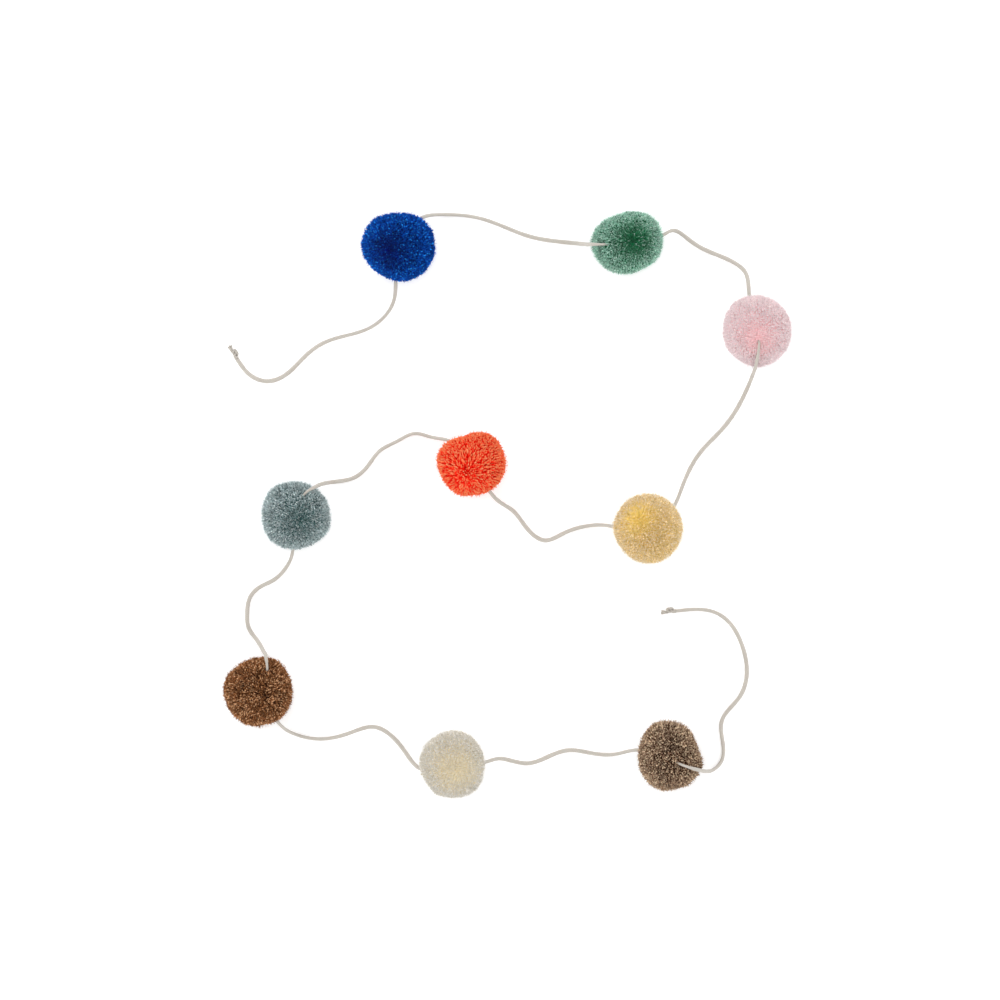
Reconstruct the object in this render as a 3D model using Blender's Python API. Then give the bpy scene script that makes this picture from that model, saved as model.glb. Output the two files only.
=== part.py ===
"""Pom-pom garland: nine balls of cut yarn threaded on one cotton cord, laid out in an S on a flat surface.

Metres, +Z up. The origin is on the surface, at the middle of the box round the nine pom-poms.
"""

import math
import random
from typing import NamedTuple

import bmesh
import bpy
import numpy as np
from mathutils import Matrix, Vector

# Cord
CORD_DIAMETER = 0.004
CORD_REST = 0.0022
CORD_POINTS = 84
CORD_STRAIGHT_BEND = 4.0
CORD_SIDES_STEP = 2
CORD_CLEARANCE = 0.0003
ROUTE_STEP = 0.001
WELD_DISTANCE = 0.000001

# Pom-poms
CORE_SHARE = 0.52
LOCK_INSET = 0.0194
LOCK_TRIM = 0.0008
LOCK_CROWN = 0.0009
FLOOR_PRESS = 0.0024
YARN_SEED = 7
TURN_STEPS = 72

# Knots
KNOT_LOBE = 0.00214
KNOT_EYE = 0.00086
KNOT_LIFT = 0.00160
KNOT_STRAND = 0.00085
KNOT_OPENING = 0.75
KNOT_TURN_POINTS = 13
KNOT_STEP = 0.0010
KNOT_FLOOR_GAP = 0.0003

CORD_COLOUR = (0.80, 0.76, 0.70)
YARN_ROUGHNESS = 0.95
CORD_ROUGHNESS = 0.85


class Pompom(NamedTuple):
    """A pom-pom: its middle, its size before it settles, the cord's lift in it and its colour (sRGB)."""

    name: str
    x: float
    y: float
    width: float
    depth: float
    height: float
    lift: float
    colour: tuple


class Form(NamedTuple):
    """A lump (size above 0) or a hollow (below 0) in a pom-pom's trimmed surface."""

    azimuth: float
    elevation: float
    size: float
    breadth: float


class Strand(NamedTuple):
    """A place on a knot's lead or tail, from the knot's middle, and the cord's radius there."""

    along: float
    aside: float
    up: float
    radius: float


POMPOMS = (
    #       name      x        y        width   depth   height  lift   colour
    Pompom("blue", -0.1086, 0.2573, 0.0715, 0.0690, 0.0690, 0.0, (0.03, 0.22, 0.58)),
    Pompom("green", 0.1196, 0.2615, 0.0700, 0.0625, 0.0660, 0.0, (0.30, 0.55, 0.44)),
    Pompom("pink", 0.2493, 0.1735, 0.0680, 0.0715, 0.0690, 0.009, (0.93, 0.72, 0.74)),
    Pompom("yellow", 0.1406, -0.0240, 0.0675, 0.0690, 0.0680, 0.0, (0.88, 0.75, 0.50)),
    Pompom("orange", -0.0360, 0.0407, 0.0685, 0.0635, 0.0660, 0.0, (0.95, 0.34, 0.16)),
    Pompom("grey", -0.2117, -0.0109, 0.0675, 0.0670, 0.0670, 0.0, (0.45, 0.55, 0.57)),
    Pompom("brown", -0.2493, -0.1875, 0.0680, 0.0700, 0.0680, 0.0, (0.48, 0.32, 0.22)),
    Pompom("cream", -0.0552, -0.2592, 0.0630, 0.0675, 0.0650, 0.0, (0.87, 0.82, 0.73)),
    Pompom("taupe", 0.1620, -0.2522, 0.0640, 0.0710, 0.0670, 0.009, (0.60, 0.50, 0.42)),
)

FORMS = {
    #        azimuth, elevation, size, breadth (degrees and metres)
    "blue": (
        Form(138, 5, 0.0040, 30),
        Form(178, 5, 0.0020, 22),
        Form(45, 5, 0.0020, 30),
        Form(242, 5, -0.0026, 24),
    ),
    "green": (
        Form(45, 5, 0.0034, 32),
        Form(112, 5, -0.0018, 20),
        Form(178, 5, 0.0018, 26),
        Form(300, 5, -0.0034, 26),
    ),
    "pink": (
        Form(130, 5, 0.0016, 30),
        Form(238, 5, -0.0022, 16),
        Form(310, 5, -0.0006, 20),
    ),
    "yellow": (
        Form(125, 5, 0.0014, 36),
        Form(176, 5, 0.0018, 20),
        Form(218, 5, -0.0008, 18),
    ),
    "orange": (
        Form(55, 5, 0.0036, 26),
        Form(112, 5, -0.0034, 17),
        Form(160, 5, 0.0024, 28),
        Form(245, 5, 0.0024, 22),
    ),
    "grey": (
        Form(132, 5, 0.0030, 32),
        Form(220, 5, 0.0018, 30),
        Form(292, 5, -0.0016, 18),
        Form(335, 5, 0.0016, 20),
    ),
    "brown": (
        Form(60, 5, 0.0032, 22),
        Form(118, 5, -0.0010, 18),
        Form(165, 5, 0.0020, 30),
        Form(284, 5, -0.0022, 14),
    ),
    "cream": (
        Form(170, 5, 0.0020, 30),
        Form(110, 5, -0.0010, 16),
        Form(240, 5, 0.0022, 12),
        Form(312, 5, 0.0022, 24),
    ),
    "taupe": (
        Form(24, 5, -0.0040, 22),
        Form(116, 5, 0.0032, 30),
        Form(88, 25, -0.0022, 12),
        Form(280, 5, -0.0032, 18),
        Form(345, 5, 0.0024, 16),
    ),
}

KNOT_MIDDLE = KNOT_FLOOR_GAP + KNOT_STRAND + KNOT_LIFT
KNOT_LEAD = (
    Strand(0.0062, -0.0013, CORD_REST - KNOT_MIDDLE, CORD_DIAMETER / 2),
    Strand(0.0051, -0.0013, CORD_REST - KNOT_MIDDLE, CORD_DIAMETER / 2),
    Strand(0.0039, -0.0015, 0.0003, 0.0014),
    Strand(0.0026, -0.0018, 0.0012, KNOT_STRAND),
)
KNOT_TAIL = (
    Strand(-0.0026, -0.0018, -KNOT_LIFT, KNOT_STRAND),
    Strand(-0.0042, -0.0014, -0.0010, 0.0013),
    Strand(-0.0058, -0.0011, -0.0006, 0.0017),
    Strand(-0.0072, -0.0009, -0.0003, 0.0020),
)

# The cord's route, chosen by hand, between one pom-pom's middle and the next.
START_TAIL = (
    (-0.2718, 0.1462, CORD_REST),
    (-0.2595, 0.1308, CORD_REST),
    (-0.2425, 0.1241, CORD_REST),
    (-0.2277, 0.1278, CORD_REST),
    (-0.2018, 0.1509, CORD_REST),
    (-0.1830, 0.1635, CORD_REST),
    (-0.1353, 0.1796, CORD_REST),
    (-0.1168, 0.1990, 0.0070),
    (-0.1125, 0.2222, 0.0230),
)
BLUE_TO_GREEN = (
    (-0.0881, 0.2863, 0.0230),
    (-0.0687, 0.2911, 0.0060),
    (-0.0317, 0.2884, CORD_REST),
    (0.0220, 0.2693, CORD_REST),
    (0.0520, 0.2641, CORD_REST),
    (0.0656, 0.2627, 0.0035),
    (0.0751, 0.2614, 0.0150),
    (0.0795, 0.2605, 0.0295),
    (0.0816, 0.2602, 0.0400),
    (0.0860, 0.2600, 0.0489),
    (0.0908, 0.2598, 0.0536),
    (0.0973, 0.2598, 0.0537),
    (0.1018, 0.2600, 0.0501),
)
GREEN_TO_PINK = (
    (0.1552, 0.2701, 0.0240),
    (0.1664, 0.2750, 0.0130),
    (0.1830, 0.2651, 0.0030),
    (0.1946, 0.2576, CORD_REST),
    (0.2178, 0.2477, CORD_REST),
    (0.2353, 0.2369, 0.0050),
    (0.2415, 0.2095, 0.0260),
)
PINK_TO_YELLOW = (
    (0.2501, 0.1639, 0.0617),
    (0.2500, 0.1593, 0.0654),
    (0.2495, 0.1529, 0.0653),
    (0.2488, 0.1481, 0.0606),
    (0.2477, 0.1408, 0.0520),
    (0.2463, 0.1342, 0.0375),
    (0.2445, 0.1285, 0.0210),
    (0.2411, 0.1192, 0.0070),
    (0.2344, 0.1048, 0.0026),
    (0.2270, 0.0918, CORD_REST),
    (0.2140, 0.0748, CORD_REST),
    (0.1920, 0.0512, CORD_REST),
    (0.1745, 0.0173, 0.0090),
    (0.1658, -0.0022, 0.0240),
)
YELLOW_TO_ORANGE = (
    (0.1066, -0.0220, 0.0240),
    (0.0834, -0.0207, 0.0040),
    (0.0566, -0.0282, CORD_REST),
    (0.0370, -0.0357, CORD_REST),
    (0.0200, -0.0247, CORD_REST),
    (0.0049, -0.0059, CORD_REST),
    (-0.0059, 0.0012, 0.0090),
    (-0.0192, 0.0146, 0.0240),
)
ORANGE_TO_GREY = (
    (-0.0559, 0.0625, 0.0240),
    (-0.0791, 0.0685, 0.0030),
    (-0.0929, 0.0716, CORD_REST),
    (-0.1107, 0.0641, CORD_REST),
    (-0.1291, 0.0538, CORD_REST),
    (-0.1417, 0.0377, CORD_REST),
    (-0.1555, 0.0268, CORD_REST),
    (-0.1645, 0.0244, 0.0026),
    (-0.1760, 0.0228, 0.0070),
    (-0.1853, 0.0211, 0.0240),
    (-0.1910, 0.0188, 0.0400),
    (-0.1957, 0.0162, 0.0499),
    (-0.1998, 0.0137, 0.0546),
    (-0.2044, 0.0092, 0.0547),
    (-0.2066, 0.0052, 0.0510),
)
GREY_TO_BROWN = (
    (-0.2152, -0.0443, 0.0230),
    (-0.2221, -0.0621, 0.0060),
    (-0.2347, -0.0752, CORD_REST),
    (-0.2500, -0.0832, CORD_REST),
    (-0.2590, -0.0932, CORD_REST),
    (-0.2618, -0.1092, CORD_REST),
    (-0.2602, -0.1236, 0.0024),
    (-0.2547, -0.1320, 0.0040),
    (-0.2486, -0.1403, 0.0120),
    (-0.2443, -0.1471, 0.0270),
    (-0.2421, -0.1500, 0.0390),
    (-0.2414, -0.1540, 0.0488),
    (-0.2405, -0.1587, 0.0535),
    (-0.2402, -0.1652, 0.0536),
    (-0.2409, -0.1697, 0.0499),
)
BROWN_TO_CREAM = (
    (-0.2315, -0.2165, 0.0230),
    (-0.2182, -0.2282, 0.0060),
    (-0.1958, -0.2347, CORD_REST),
    (-0.1565, -0.2282, CORD_REST),
    (-0.1340, -0.2230, CORD_REST),
    (-0.1172, -0.2317, CORD_REST),
    (-0.1025, -0.2490, 0.0040),
    (-0.0848, -0.2649, 0.0230),
)
CREAM_TO_TAUPE = (
    (-0.0241, -0.2579, 0.0230),
    (-0.0070, -0.2547, 0.0060),
    (0.0190, -0.2595, CORD_REST),
    (0.0407, -0.2527, CORD_REST),
    (0.0604, -0.2464, CORD_REST),
    (0.0856, -0.2496, CORD_REST),
    (0.1040, -0.2507, 0.0040),
    (0.1303, -0.2454, 0.0240),
)
END_TAIL = (
    (0.1692, -0.2573, 0.0589),
    (0.1734, -0.2591, 0.0626),
    (0.1795, -0.2613, 0.0625),
    (0.1841, -0.2628, 0.0578),
    (0.1908, -0.2648, 0.0484),
    (0.1960, -0.2662, 0.0360),
    (0.1998, -0.2668, 0.0230),
    (0.2068, -0.2652, 0.0070),
    (0.2137, -0.2584, 0.0026),
    (0.2163, -0.2482, CORD_REST),
    (0.2154, -0.2370, CORD_REST),
    (0.2145, -0.2176, CORD_REST),
    (0.2328, -0.1923, CORD_REST),
    (0.2397, -0.1701, CORD_REST),
    (0.2344, -0.1395, CORD_REST),
    (0.2206, -0.1165, CORD_REST),
    (0.2099, -0.1089, CORD_REST),
    (0.1838, -0.1052, CORD_REST),
    (0.1692, -0.1066, CORD_REST),
)
STRETCHES = (
    START_TAIL,
    BLUE_TO_GREEN,
    GREEN_TO_PINK,
    PINK_TO_YELLOW,
    YELLOW_TO_ORANGE,
    ORANGE_TO_GREY,
    GREY_TO_BROWN,
    BROWN_TO_CREAM,
    CREAM_TO_TAUPE,
    END_TAIL,
)


def linear(colour):
    """Turn an sRGB colour into the linear values that a material takes."""
    return tuple(c / 12.92 if c <= 0.04045 else ((c + 0.055) / 1.055) ** 2.4 for c in colour)


def material(name, colour, roughness):
    """One plain material in the piece's own colour."""
    made = bpy.data.materials.new(name)
    made.use_nodes = True
    shader = made.node_tree.nodes["Principled BSDF"]
    shader.inputs["Base Color"].default_value = (*linear(colour), 1)
    shader.inputs["Roughness"].default_value = roughness
    shader.inputs["Metallic"].default_value = 0
    return made


def middle(ball):
    """The middle of a pom-pom, a little lower than its radius because it settles on its pile."""
    return Vector((ball.x, ball.y, ball.height / 2 - FLOOR_PRESS))


def pointing(azimuth, elevation):
    """The unit direction of an azimuth and an elevation in degrees."""
    around = math.radians(azimuth)
    up = math.radians(elevation)
    return Vector((math.cos(around) * math.cos(up), math.sin(around) * math.cos(up), math.sin(up)))


def reach(ball, direction):
    """How far a pom-pom's trimmed surface lies from its middle, along a unit direction."""
    ratio = Vector((direction.x / ball.width, direction.y / ball.depth, direction.z / ball.height))
    out = 0.5 / ratio.length
    for form in FORMS[ball.name]:
        apart = direction.angle(pointing(form.azimuth, form.elevation))
        out += form.size * math.exp(-((apart / math.radians(form.breadth)) ** 2))
    if direction.z < 0:
        out = min(out, middle(ball).z / -direction.z)
    return out


def route_points():
    """The hand-chosen points of the cord, passing through the middle of each pom-pom."""
    points = list(STRETCHES[0])
    for ball, stretch in zip(POMPOMS, STRETCHES[1:]):
        points.append(tuple(middle(ball) + Vector((0, 0, ball.lift))))
        points.extend(stretch)
    return np.array(points)


def smooth_route(points, step):
    """Read the natural cubic curve through the points every step, as a limp cord would lie."""
    knots = np.concatenate([[0.0], np.cumsum(np.linalg.norm(np.diff(points, axis=0), axis=1))])
    gaps = np.diff(knots)
    slopes = np.diff(points, axis=0) / gaps[:, None]
    count = len(points)
    system = np.eye(count)
    sides = np.zeros_like(points)
    for row in range(1, count - 1):
        system[row, row - 1 : row + 2] = (gaps[row - 1], 2 * (gaps[row - 1] + gaps[row]), gaps[row])
        sides[row] = 6 * (slopes[row] - slopes[row - 1])
    bends = np.linalg.solve(system, sides)
    along = np.linspace(0.0, knots[-1], int(knots[-1] / step))
    span = np.clip(np.searchsorted(knots, along, side="right") - 1, 0, count - 2)
    gap = gaps[span][:, None]
    after = along[:, None] - knots[span][:, None]
    before = gap - after
    ends = (points[span] / gap - bends[span] * gap / 6) * before
    ends += (points[span + 1] / gap - bends[span + 1] * gap / 6) * after
    return ends + (bends[span] * before**3 + bends[span + 1] * after**3) / (6 * gap)


def spread_by_bend(route, count):
    """Pick points along the route, closer together where it bends."""
    steps = np.diff(route, axis=0)
    lengths = np.linalg.norm(steps, axis=1)
    headings = steps / lengths[:, None]
    turns = np.zeros(len(steps))
    turns[1:] = np.linalg.norm(np.diff(headings, axis=0), axis=1)
    density = np.sqrt(turns / lengths + CORD_STRAIGHT_BEND)
    weights = np.concatenate([[0.0], np.cumsum(lengths * density)])
    wanted = np.linspace(0.0, weights[-1], count)
    return np.array([np.interp(wanted, weights, route[:, axis]) for axis in range(3)]).T


def tube(name, points, radii, diameter):
    """A round tube with closed ends through the points, each with its own share of the radius."""
    curve = bpy.data.curves.new(name, "CURVE")
    curve.dimensions = "3D"
    curve.bevel_depth = diameter / 2
    curve.bevel_resolution = CORD_SIDES_STEP
    curve.use_fill_caps = True
    line = curve.splines.new("POLY")
    line.points.add(len(points) - 1)
    for spot, place, radius in zip(line.points, points, radii):
        spot.co = (*place, 1)
        spot.radius = radius
    line.use_smooth = True
    return bpy.data.objects.new(name, curve)


def bore_cutter(points):
    """The channel that the cord's own clearance needs, as a mesh."""
    sides = 2 * (CORD_SIDES_STEP + 2)
    width = CORD_DIAMETER + 2 * CORD_CLEARANCE / math.cos(math.pi / sides)
    guide = tube("cord_channel_guide", points, np.ones(len(points)), width)
    bpy.context.scene.collection.objects.link(guide)
    bpy.context.view_layer.update()
    evaluated = guide.evaluated_get(bpy.context.evaluated_depsgraph_get())
    mesh = bpy.data.meshes.new_from_object(evaluated)
    welded = bmesh.new()
    welded.from_mesh(mesh)
    bmesh.ops.remove_doubles(welded, verts=welded.verts[:], dist=WELD_DISTANCE)
    welded.to_mesh(mesh)
    welded.free()
    cutter = bpy.data.objects.new("cord_channel", mesh)
    cutter.matrix_world = guide.matrix_world
    bpy.data.objects.remove(guide)
    cutter.hide_render = True
    cutter.display_type = "WIRE"
    return cutter


def lock_tiling():
    """Thirty four-sided locks standing out of a round core, with a narrow gap between neighbours.

    Returns the mesh, on a unit ball, and the vertices of each lock's outer end.
    """
    ball = bmesh.new()
    lock_of = ball.faces.layers.int.new("lock")
    bmesh.ops.create_icosphere(ball, subdivisions=1, radius=1)
    seams = ball.edges[:]
    bmesh.ops.poke(ball, faces=ball.faces[:])
    bmesh.ops.dissolve_edges(ball, edges=seams)
    for number, face in enumerate(ball.faces):
        face[lock_of] = number
    count = len(ball.faces)
    bmesh.ops.subdivide_edges(ball, edges=ball.edges[:], cuts=1, use_grid_fill=True)
    for vertex in ball.verts:
        vertex.co.normalize()
    locks = [[face for face in ball.faces if face[lock_of] == number] for number in range(count)]
    ends = []
    for faces in locks:
        bmesh.ops.inset_region(ball, faces=faces, thickness=LOCK_INSET, use_even_offset=True)
        grown = bmesh.ops.extrude_face_region(ball, geom=faces)
        ends.append([item for item in grown["geom"] if isinstance(item, bmesh.types.BMVert)])
        bmesh.ops.delete(ball, geom=faces, context="FACES")
    return ball, ends


def lock_heading(vertices):
    """The direction in which a lock points."""
    return sum((vertex.co for vertex in vertices), Vector()).normalized()


def crossings(ball, route):
    """The directions in which the cord goes in and comes out of a pom-pom."""
    offsets = [Vector(place) - middle(ball) for place in route]
    inside = [offset.length < reach(ball, offset.normalized()) for offset in offsets]
    pairs = zip(offsets, inside, inside[1:])
    return [offset.normalized() for offset, here, there in pairs if here != there]


def turned_tiling(ball, ends, cord_ways):
    """The turn that sets one lock on the surface and brings the cord out through the middle of others."""
    headings = [lock_heading(vertices) for vertices in ends]
    upright = headings[0].rotation_difference(Vector((0, 0, -1))).to_matrix()
    best = None
    for step in range(TURN_STEPS):
        turn = Matrix.Rotation(step * math.tau / TURN_STEPS, 3, "Z") @ upright
        turned = [turn @ heading for heading in headings]
        worst = max(min(way.angle(heading) for heading in turned) for way in cord_ways)
        if best is None or worst < best[0]:
            best = (worst, turn)
    return best[1]


def ends_in(face, vertices):
    """Whether a face belongs to the outer end of the lock with these vertices."""
    return all(corner in vertices for corner in face.verts)


def pompom(ball, route, yarn):
    """One trimmed ball of locks, set on the surface on its shorter, level bottom locks."""
    shape, ends = lock_tiling()
    turn = turned_tiling(ball, ends, crossings(ball, route))
    core = CORE_SHARE * (ball.width + ball.depth) / 4
    cuts = {}
    for vertices in ends:
        trim = LOCK_TRIM * yarn.random()
        for vertex in vertices:
            at_rim = not all(ends_in(face, vertices) for face in vertex.link_faces)
            cuts[vertex] = trim + LOCK_CROWN * at_rim
    for vertex in shape.verts:
        direction = (turn @ vertex.co).normalized()
        length = core
        if vertex in cuts:
            length = reach(ball, direction)
            if length * -direction.z < middle(ball).z - FLOOR_PRESS:
                length -= cuts[vertex]
        vertex.co = direction * length
    bmesh.ops.triangulate(shape, faces=shape.faces[:], quad_method="SHORT_EDGE")
    bmesh.ops.recalc_face_normals(shape, faces=shape.faces[:])
    mesh = bpy.data.meshes.new(f"pompom_{ball.name}")
    shape.to_mesh(mesh)
    shape.free()
    made = bpy.data.objects.new(f"pompom_{ball.name}", mesh)
    made.location = middle(ball)
    mesh.materials.append(material(f"{ball.name}_yarn", ball.colour, YARN_ROUGHNESS))
    return made


def knot_turn(t):
    """A place on the looped part of an overhand knot, from the knot's middle."""
    along = KNOT_EYE * math.sin(t) + KNOT_LOBE * math.sin(2 * t)
    aside = KNOT_EYE * math.cos(t) - KNOT_LOBE * math.cos(2 * t)
    return Strand(along, aside, -KNOT_LIFT * math.sin(3 * t), KNOT_STRAND)


def knot_line():
    """The cord's line through an overhand knot, from the end of the plain cord to the tail's tip.

    Returns the points, with the first at the origin and the tail towards -X, and the radius at each.
    """
    first = math.pi + KNOT_OPENING
    sweep = math.tau - 2 * KNOT_OPENING
    turns = [knot_turn(first + sweep * number / (KNOT_TURN_POINTS - 1)) for number in range(KNOT_TURN_POINTS)]
    marks = np.array([*KNOT_LEAD, *turns, *KNOT_TAIL])
    line = smooth_route(marks, KNOT_STEP)
    return line[:, :3] - line[0, :3], line[:, 3]


def knot(name, end, before):
    """An overhand knot with its frayed tail, a hair's breadth past the end of the plain cord."""
    points, radii = knot_line()
    heading = (Vector(end) - Vector(before)).normalized()
    made = tube(name, points, radii / CORD_REST, 2 * CORD_REST)
    made.location = Vector(end) + CORD_CLEARANCE * heading
    made.rotation_euler.z = math.atan2(-heading.y, -heading.x)
    return made


def main():
    """Build the garland in its own collection."""
    for old in list(bpy.data.objects):
        bpy.data.objects.remove(old)
    garland = bpy.data.collections.new("pompom_garland")
    cutters = bpy.data.collections.new("cutters")
    bpy.context.scene.collection.children.link(garland)
    bpy.context.scene.collection.children.link(cutters)
    base = bpy.data.objects.new("garland_base", None)
    garland.objects.link(base)

    route = smooth_route(route_points(), ROUTE_STEP)
    route[:, 2] = np.maximum(route[:, 2], CORD_REST)
    points = spread_by_bend(route, CORD_POINTS)
    pieces = [tube("cord", points, np.ones(len(points)), CORD_DIAMETER)]
    pieces.append(knot("knot_start", points[0], points[1]))
    pieces.append(knot("knot_end", points[-1], points[-2]))
    cotton = material("cotton_cord", CORD_COLOUR, CORD_ROUGHNESS)
    for piece in pieces:
        piece.data.materials.append(cotton)

    channel = bore_cutter(points)
    cutters.objects.link(channel)
    yarn = random.Random(YARN_SEED)
    for ball in POMPOMS:
        piece = pompom(ball, route, yarn)
        bore = piece.modifiers.new("cord_channel", "BOOLEAN")
        bore.operation = "DIFFERENCE"
        bore.solver = "EXACT"
        bore.object = channel
        pieces.append(piece)
    for piece in pieces:
        garland.objects.link(piece)
        piece.parent = base


main()
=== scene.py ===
"""Looks of the pom-pom garland: nine balls of cut yarn on one cotton cord, laid out on a plain surface.

Metres, +Z up. The surface is at z = 0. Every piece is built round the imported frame.
"""

import logging
import math
from dataclasses import dataclass
from enum import Enum

import bpy
import numpy as np
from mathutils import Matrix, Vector

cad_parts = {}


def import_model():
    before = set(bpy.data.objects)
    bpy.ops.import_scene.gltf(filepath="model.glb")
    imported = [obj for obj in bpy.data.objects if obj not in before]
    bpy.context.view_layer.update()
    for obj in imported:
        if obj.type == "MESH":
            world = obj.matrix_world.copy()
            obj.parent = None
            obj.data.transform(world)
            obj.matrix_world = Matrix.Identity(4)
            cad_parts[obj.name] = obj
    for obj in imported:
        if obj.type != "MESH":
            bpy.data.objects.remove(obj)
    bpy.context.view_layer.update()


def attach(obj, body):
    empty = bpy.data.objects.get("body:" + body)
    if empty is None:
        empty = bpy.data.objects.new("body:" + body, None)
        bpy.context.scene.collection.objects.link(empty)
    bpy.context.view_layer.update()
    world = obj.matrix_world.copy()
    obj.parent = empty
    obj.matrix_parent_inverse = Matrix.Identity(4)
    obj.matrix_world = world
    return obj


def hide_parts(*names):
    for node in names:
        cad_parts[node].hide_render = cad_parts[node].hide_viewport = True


LOG = logging.getLogger("garland")

Colour = tuple[float, float, float]
Point = tuple[float, float, float]

# A low and a high value
Span = tuple[float, float]
# Share of the way from root to tip, and share of the radius there, for each ring of a strand
Rings = tuple[tuple[float, float], ...]

UP: Point = (0.0, 0.0, 1.0)
SIDEWAYS: Point = (1.0, 0.0, 0.0)
STEEP = 0.8

# Detail of the noise in the finishes
SOFT_DETAIL = 2.0
FINE_DETAIL = 3.0

# Cord
CORD_DIAMETER = 0.004
CORD_REST = 0.0022
RING_STEP = 0.0009
CORD_SIDES = 16
CORD_PULLED = 0.93
CORD_SQUEEZE = 0.36
SQUEEZE_LENGTH = 0.0120
SQUEEZE_ABOVE = 0.045
# how much the cord swells, as a share; how often, in radians a metre; and the shift, in radians
CORD_SWELLS = ((0.03, 310.0, 0.0), (0.02, 830.0, 1.0))
TUBE_MAP_MARGIN = 0.05
TUBE_MAP_USED = 0.9
END_MAP_RADIUS = 0.002
END_MAP_PLACE = 0.997
END_MAP_APART = 0.006

# Pom-poms
FLOOR_PRESS = 0.0024
LOWEST_TIP = 0.0002
GOLDEN_TURN = math.pi * (3 - math.sqrt(5))
PLY_THICKNESS: Span = (0.85, 1.15)
PLY_MAP_USED = 0.9
PLY_MAP_ROOT = 0.02
TUFTS = 240
TUFT_BREADTH = math.radians(5)

# The core of a pom-pom, painted with the shade of the pile's depth
CORE_RINGS = 16
CORE_SEGMENTS = 32
CORE_LOWEST = 0.0008
# The core's height gives it the painted shade of the pile's depth, and its shade is a little below the mean
CORE_HEIGHT_SHADE_TONE = (0.25, 0.4, 0.5)
CORE_MAP_WIDTH = 0.8
CORE_MAP_BOTTOM = 0.992
CORE_MAP_HEIGHT = 0.006

# Where the cord meets a pom-pom
CORD_ROOM = 0.0004
PARTING = 0.0008
PARTING_REACH = 0.0020
BURIED = 0.0002
NEAR_POMPOM = 0.055
# shares of a strand's way at which its distance from the cord is tested
CLEARED_SHARES = (0.3, 0.45, 0.6, 0.7, 0.8, 0.9, 1.0)
CUT_BACK = 0.14
SHORTEST_CUT = 0.3

# Loose fibres; a tone above LOOSE_TONE marks them in the mesh
LOOSE_TONE = 1.5
LOOSE_MARK = 2.0
LOOSE_SPREAD = (1.0, 1.0, 0.55)
LOOSE_LEAN = 0.06
LOOSE_OUT: Span = (0.0004, 0.0024)
LOOSE_ROOT_DEPTH = 0.004
LOOSE_BEND_DEPTH = 0.001
LOOSE_THICKNESS: Span = (0.7, 1.3)
# Loose fibres take only the lighter shades, painted lighter as if lit from behind
LOOSE_SHADES: Span = (0.5, 1.0)
LOOSE_SIDES = 3

# The rings of each kind of strand
SLIM_PLY: Rings = ((0.0, 0.8), (0.91, 1.0))
FULL_PLY: Rings = ((0.0, 0.9), (0.93, 1.0))
ROUNDED_PLY: Rings = ((0.0, 0.8), (0.55, 0.95), (0.86, 1.0), (0.95, 0.85))
LOOSE_FIBRE: Rings = ((0.0, 1.0), (0.9, 0.8))
FRAYED_FIBRE: Rings = ((0.0, 0.9), (0.35, 1.0), (0.7, 1.0), (0.95, 0.7))

# Knots
KNOT_LOBE = 0.00214
KNOT_EYE = 0.00086
KNOT_LIFT = 0.00160
KNOT_STRAND = 0.00085
KNOT_OPENING = 0.75
KNOT_TURN_POINTS = 13
KNOT_FLOOR_GAP = 0.0003
KNOT_MIDDLE = KNOT_FLOOR_GAP + KNOT_STRAND + KNOT_LIFT
KNOT_STEP = 0.0004
KNOT_FULLNESS = 0.00025
KNOT_FULL_BELOW = 0.0019
KNOT_FULL_WITHIN = 0.0008
KNOT_CLEARANCE = 0.0003
KNOT_MAP_SHARE = (1, 0.5)

# The frayed end of a tail
FRAY_FIBRES = 34
FRAY_SIDES = 5
FRAY_ROOT_BACK = 0.0025
FRAY_ROOT_SPREAD = 0.0013
FRAY_BEND_SPREAD = 0.0018
FRAY_TIP_SPREAD = 0.0026
FRAY_OUT: Span = (0.0006, 0.0022)
FRAY_RADII: Span = (0.00022, 0.00038)
FRAY_MAP_SHARE = (1, 0.4)
FRAY_MAP_PLACE = (0, 0.55)
FRAY_LAY = 0.01

KNOT_LEAD = (
    # along, aside, up, radius
    (0.0062, -0.0013, CORD_REST - KNOT_MIDDLE, CORD_DIAMETER / 2 * CORD_PULLED),
    (0.0051, -0.0013, CORD_REST - KNOT_MIDDLE, CORD_DIAMETER / 2 * CORD_PULLED),
    (0.0039, -0.0015, 0.0003, 0.0014),
    (0.0026, -0.0018, 0.0012, KNOT_STRAND),
)
KNOT_TAIL = (
    (-0.0026, -0.0018, -KNOT_LIFT, KNOT_STRAND),
    (-0.0042, -0.0014, -0.0010, 0.0013),
    (-0.0058, -0.0011, -0.0006, 0.0017),
    (-0.0072, -0.0009, -0.0003, 0.0020),
)

# The cord's route between one pom-pom's middle and the next.
START_TAIL = (
    (-0.2718, 0.1462, CORD_REST),
    (-0.2595, 0.1308, CORD_REST),
    (-0.2425, 0.1241, CORD_REST),
    (-0.2277, 0.1278, CORD_REST),
    (-0.2018, 0.1509, CORD_REST),
    (-0.1830, 0.1635, CORD_REST),
    (-0.1353, 0.1796, CORD_REST),
    (-0.1168, 0.1990, 0.0070),
    (-0.1125, 0.2222, 0.0230),
)
BLUE_TO_GREEN = (
    (-0.0881, 0.2863, 0.0230),
    (-0.0687, 0.2911, 0.0060),
    (-0.0317, 0.2884, CORD_REST),
    (0.0220, 0.2693, CORD_REST),
    (0.0520, 0.2641, CORD_REST),
    (0.0656, 0.2627, 0.0035),
    (0.0751, 0.2614, 0.0150),
    (0.0795, 0.2605, 0.0295),
    (0.0816, 0.2602, 0.0400),
    (0.0860, 0.2600, 0.0489),
    (0.0908, 0.2598, 0.0536),
    (0.0973, 0.2598, 0.0537),
    (0.1018, 0.2600, 0.0501),
)
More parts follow.
